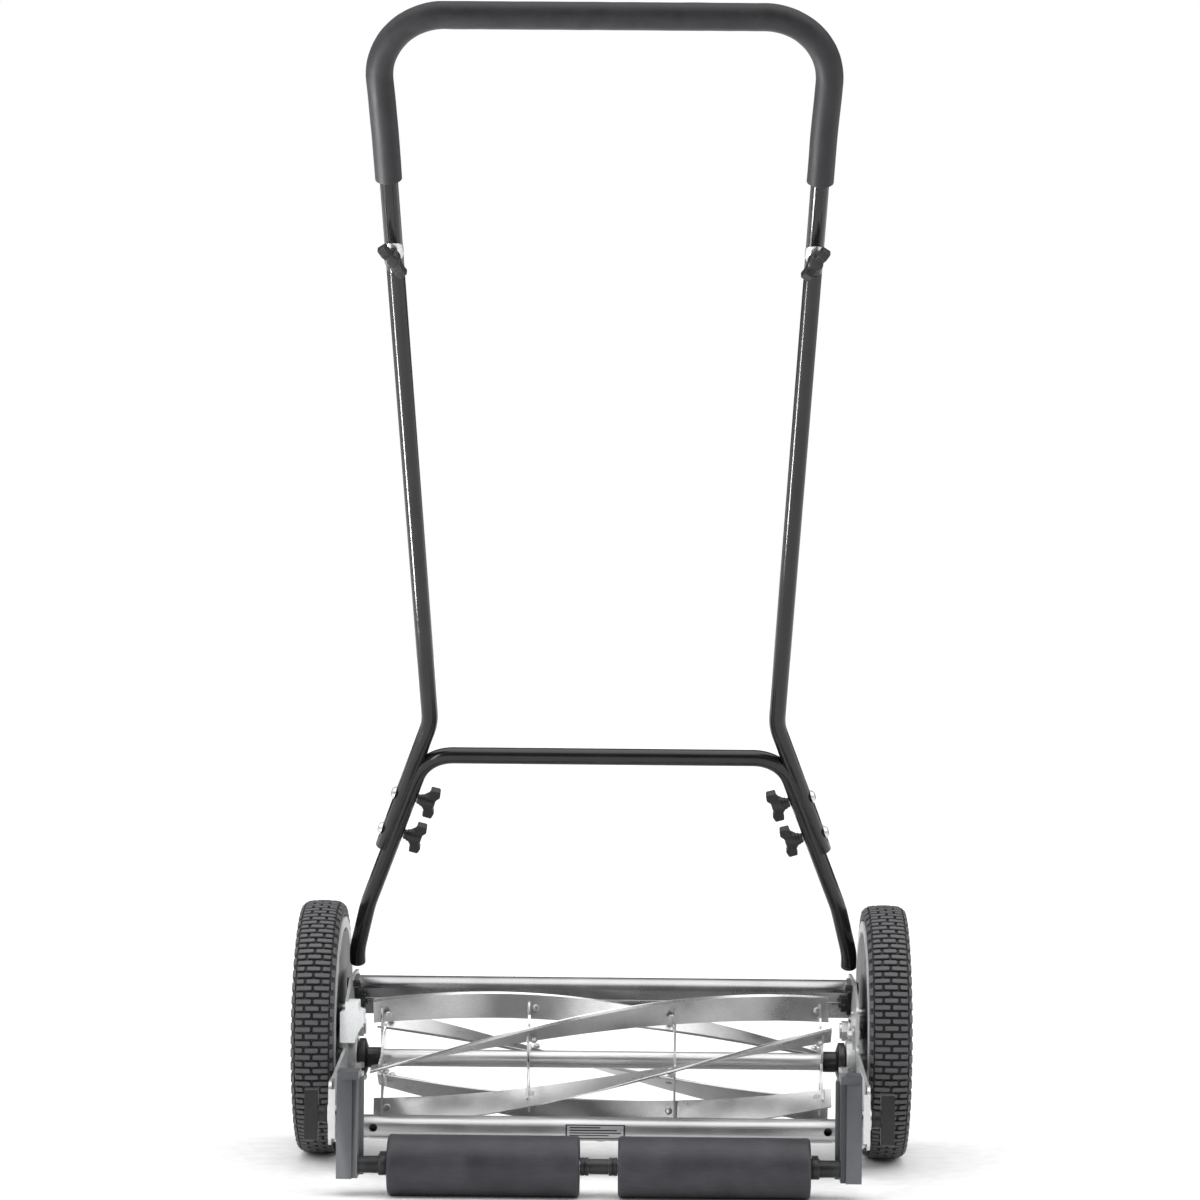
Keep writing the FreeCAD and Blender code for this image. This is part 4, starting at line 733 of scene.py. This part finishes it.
def height_knob(side, word):
    """A T-shaped knob with a waisted stem."""
    node = word + "_height_knob"
    low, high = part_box(node)
    centre = (low + high) / 2
    inner = low.x if side > 0 else high.x
    base = Vector((inner, centre.y, centre.z))
    axis = Vector((side, 0, 0))
    build = bmesh.new()
    stem = [(0, 4.3), (0, 8.6), (0.5, 9.0), (2.0, 9.0), (2.6, 8.2), (8.0, 8.0), (9.0, 8.6), (9.6, 8.6)]
    profile = [(a * MM, r * MM) for a, r in stem] + [(9.6 * MM, 4.3 * MM)]
    lathe(build, profile, base, axis, 40)
    outline = [(-7.6, -9), (-6.4, -23), (-4.6, -24.4), (4.6, -24.4), (6.4, -23), (7.6, -9), (7.6, 9),
               (6.4, 23), (4.6, 24.4), (-4.6, 24.4), (-6.4, 23), (-7.6, 9)]
    face = [base + axis * (9.0 * MM) + Vector((0, y * MM, z * MM)) for y, z in outline]
    prism(build, face, axis * (12.6 * MM))
    piece(word + "_height_grip", build, word + "_height_lever", "black_plastic", [node],
          bevel=1.3 * MM, angle=40)


# ---------------------------------------------------------------- grip
GRIP_FROM = 927 * MM                          # height of the grip's lower ends
GRIP_BEND = 57 * MM                           # radius of its upper corners
GRIP_ROUND = 2.6 * MM                         # rounding of its ends


def grip():
    """A foam sleeve over the top of the handle, a little uneven, with rounded ends."""
    slope = (JOIN_HALF - ELBOW[0]) / (JOIN_S - ELBOW[1])

    def leg(s):
        return JOIN_HALF + (s - JOIN_S) * slope

    bend = TOP_S - 110 * MM
    half = [(leg(GRIP_FROM), GRIP_FROM), (leg(bend), bend), (195 * MM, TOP_S)]
    corners = [on_handle(-x, s) for x, s in half] + [on_handle(x, s) for x, s in reversed(half)]
    points = along_path(corners, [400 * MM, GRIP_BEND, GRIP_BEND, 400 * MM], step=2.5 * MM)
    build = bmesh.new()
    rings = sweep(build, points, GRIP_R - 0.2 * MM, 48, BACK)
    for loop, centre in zip(rings, points):
        for vertex in loop:
            out = (vertex.co - centre).normalized()
            swell = noise.noise(vertex.co * 45) * 0.22 * MM + noise.noise(vertex.co * 160) * 0.09 * MM
            vertex.co += out * swell
    bore = (TUBE_R + 0.15 * MM) / GRIP_R
    for loop, centre, before in ((rings[0], points[0], points[1]), (rings[-1], points[-1], points[-2])):
        outward = (centre - before).normalized()
        last = None
        for k in range(1, 6):
            a = math.pi / 2 * k / 5
            shrink = (GRIP_R - GRIP_ROUND * (1 - math.cos(a))) / GRIP_R
            drop = outward * (GRIP_ROUND * (math.sin(a) - 1))
            new = ring(build, [centre + (v.co - centre) * shrink + drop for v in loop])
            if last:
                bridge(build, last, new)
            last = new
        tube = ring(build, [centre + (v.co - centre) * bore for v in loop])
        bridge(build, last, tube)
        inside = ring(build, [centre + (v.co - centre) * bore - outward * 6 * MM for v in loop])
        bridge(build, tube, inside)
    obj = piece("foam_grip", build, "handle", "foam", ["grip"], angle=60)


# ---------------------------------------------------------------- label
def label():
    """A plain bordered plate bent round the back of the bar, with bars in place of words."""
    build = bmesh.new()
    left, right = -34 * MM, 24 * MM

    def patch(x0, x1, a0, a1, lift, material):
        """A thin curved plate between two places along the bar and two angles round it, in degrees."""
        count = 10
        rows = []
        for radius in (BAR_R + lift, BAR_R + lift - 0.25 * MM):
            row = []
            for i in range(count + 1):
                a = math.radians(a0 + (a1 - a0) * i / count)
                y, z = BAR.y - radius * math.cos(a), BAR.z + radius * math.sin(a)
                row.append((build.verts.new((x0, y, z)), build.verts.new((x1, y, z))))
            rows.append(row)
        for row in rows:
            for (p, q), (r, s) in zip(row, row[1:]):
                build.faces.new((p, q, s, r)).material_index = material
        outer, inner = rows
        loop_out = [p for p, q in outer] + [q for p, q in reversed(outer)]
        loop_in = [p for p, q in inner] + [q for p, q in reversed(inner)]
        bridge(build, loop_out, loop_in, material)

    patch(left, right, -50, 26, 0.30 * MM, 0)
    patch(left + 1.6 * MM, right - 1.6 * MM, -44, 20, 0.38 * MM, 1)
    for row, width in enumerate((30, 46, 50, 38)):
        a1 = 14 - row * 13
        patch(left + 4 * MM, left + (4 + width) * MM, a1 - 6, a1, 0.44 * MM, 0)
    piece("bar_plate", build, "cutter", ["label_dark", "label_light"], ())


# ---------------------------------------------------------------- stage
FLOOR_HALF = 30.0


def stage():
    """A pale floor."""
    build = bmesh.new()
    corners = ((-1, -1), (1, -1), (1, 1), (-1, 1))
    cap(build, ring(build, [(x * FLOOR_HALF, y * FLOOR_HALF, 0) for x, y in corners]))
    mesh = bpy.data.meshes.new("floor")
    build.to_mesh(mesh)
    build.free()
    floor = bpy.data.objects.new("floor", mesh)
    bpy.context.scene.collection.objects.link(floor)
    mesh.materials.append(surface("pale_floor", (0.88, 0.88, 0.88), (0.91, 0.91, 0.91), 0.75, mottle=0.7,
                                  grain=60.0, bump=0.02))


def area_light(name, place, aim, wide, tall, power, along=(0, 0, 1), beam=180):
    """A rectangular light whose long side runs along a direction."""
    data = bpy.data.lights.new(name, "AREA")
    data.shape = "RECTANGLE"
    data.size = wide
    data.size_y = tall
    data.energy = power
    data.spread = math.radians(beam)
    light = bpy.data.objects.new(name, data)
    light.location = place
    back = (Vector(place) - Vector(aim)).normalized()
    side = Vector(along).cross(back).normalized()
    light.rotation_euler = Matrix((side, back.cross(side), back)).transposed().to_euler()
    bpy.context.scene.collection.objects.link(light)


# the band's two soft edges, as y over z of the way to the sky, and its dimmest and brightest light
BAND_BACK, BAND_FRONT = (-1.1, -0.6), (0.2, 0.9)
BAND_LIGHT = (0.15, 2.6)


def studio_world():
    """White to look at. As a light it is a bright band overhead, and dim all round."""
    world = bpy.data.worlds.new("studio")
    bpy.context.scene.world = world
    world.use_nodes = True
    tree = world.node_tree
    output = tree.nodes["World Output"]
    lit = tree.nodes["Background"]
    plain = add(tree, "ShaderNodeBackground", Color=(1.0, 1.0, 1.0, 1), Strength=1.0)
    place = add(tree, "ShaderNodeTexCoord")
    axes = add(tree, "ShaderNodeSeparateXYZ")
    tree.links.new(place.outputs["Generated"], axes.inputs[0])
    height = add(tree, "ShaderNodeMath", operation="MAXIMUM")
    height.inputs[1].default_value = 0.01
    tree.links.new(axes.outputs["Z"], height.inputs[0])
    slope = add(tree, "ShaderNodeMath", operation="DIVIDE")
    tree.links.new(axes.outputs["Y"], slope.inputs[0])
    tree.links.new(height.outputs[0], slope.inputs[1])
    behind = spread(tree, slope.outputs[0], *BAND_BACK, 0.0, 1.0)
    before = spread(tree, slope.outputs[0], *BAND_FRONT, 1.0, 0.0)
    band = add(tree, "ShaderNodeMath", operation="MULTIPLY")
    tree.links.new(behind, band.inputs[0])
    tree.links.new(before, band.inputs[1])
    tree.links.new(spread(tree, band.outputs[0], 0.0, 1.0, *BAND_LIGHT), lit.inputs["Strength"])
    lit.inputs["Color"].default_value = (1, 1, 1, 1)
    seen = add(tree, "ShaderNodeLightPath")
    choose = add(tree, "ShaderNodeMixShader")
    tree.links.new(seen.outputs["Is Camera Ray"], choose.inputs[0])
    tree.links.new(lit.outputs[0], choose.inputs[1])
    tree.links.new(plain.outputs[0], choose.inputs[2])
    tree.links.new(choose.outputs[0], output.inputs["Surface"])


def lights():
    studio_world()
    area_light("left_strip", (-2.4, -3.0, 1.3), (0, 0, 0.5), wide=0.35, tall=2.4, power=34)
    area_light("right_strip", (2.6, -1.6, 1.3), (0, 0, 0.6), wide=0.35, tall=2.4, power=6)
    area_light("handle_strip", (-0.82, -0.31, 0.31), (-0.1, -0.28, 0.95), wide=0.07, tall=0.62, power=3.0,
               along=UP, beam=70)


# ---------------------------------------------------------------- camera
CAMERA_BACK, CAMERA_HEIGHT, CAMERA_SIDE = 3.60, 0.560, 0.035    # from the axle, the floor and the middle
CAMERA_LENS = 106.9
CAMERA_ROLL, CAMERA_TURN = math.radians(0.5), math.radians(0.66)


def camera():
    data = bpy.data.cameras.new("camera")
    data.sensor_width = 36.0
    data.lens = CAMERA_LENS
    data.clip_end = 200
    obj = bpy.data.objects.new("camera", data)
    obj.location = (CAMERA_SIDE, AXLE.y - CAMERA_BACK, CAMERA_HEIGHT)
    obj.rotation_euler = (Matrix.Rotation(CAMERA_TURN, 3, "Z") @ Matrix.Rotation(math.pi / 2, 3, "X")
                          @ Matrix.Rotation(CAMERA_ROLL, 3, "Z")).to_euler()
    bpy.context.scene.collection.objects.link(obj)
    bpy.context.scene.camera = obj


# ---------------------------------------------------------------- assembly
dress_cad()
tyre(-1)
tyre(1)
for number in range(BLADE_COUNT):
    blade(number)
rivets()
roller(-1)
roller(1)
roller_bushes()
knobs()
grip()
label()
stage()
lights()
camera()
bpy.context.scene.view_settings.view_transform = "Standard"
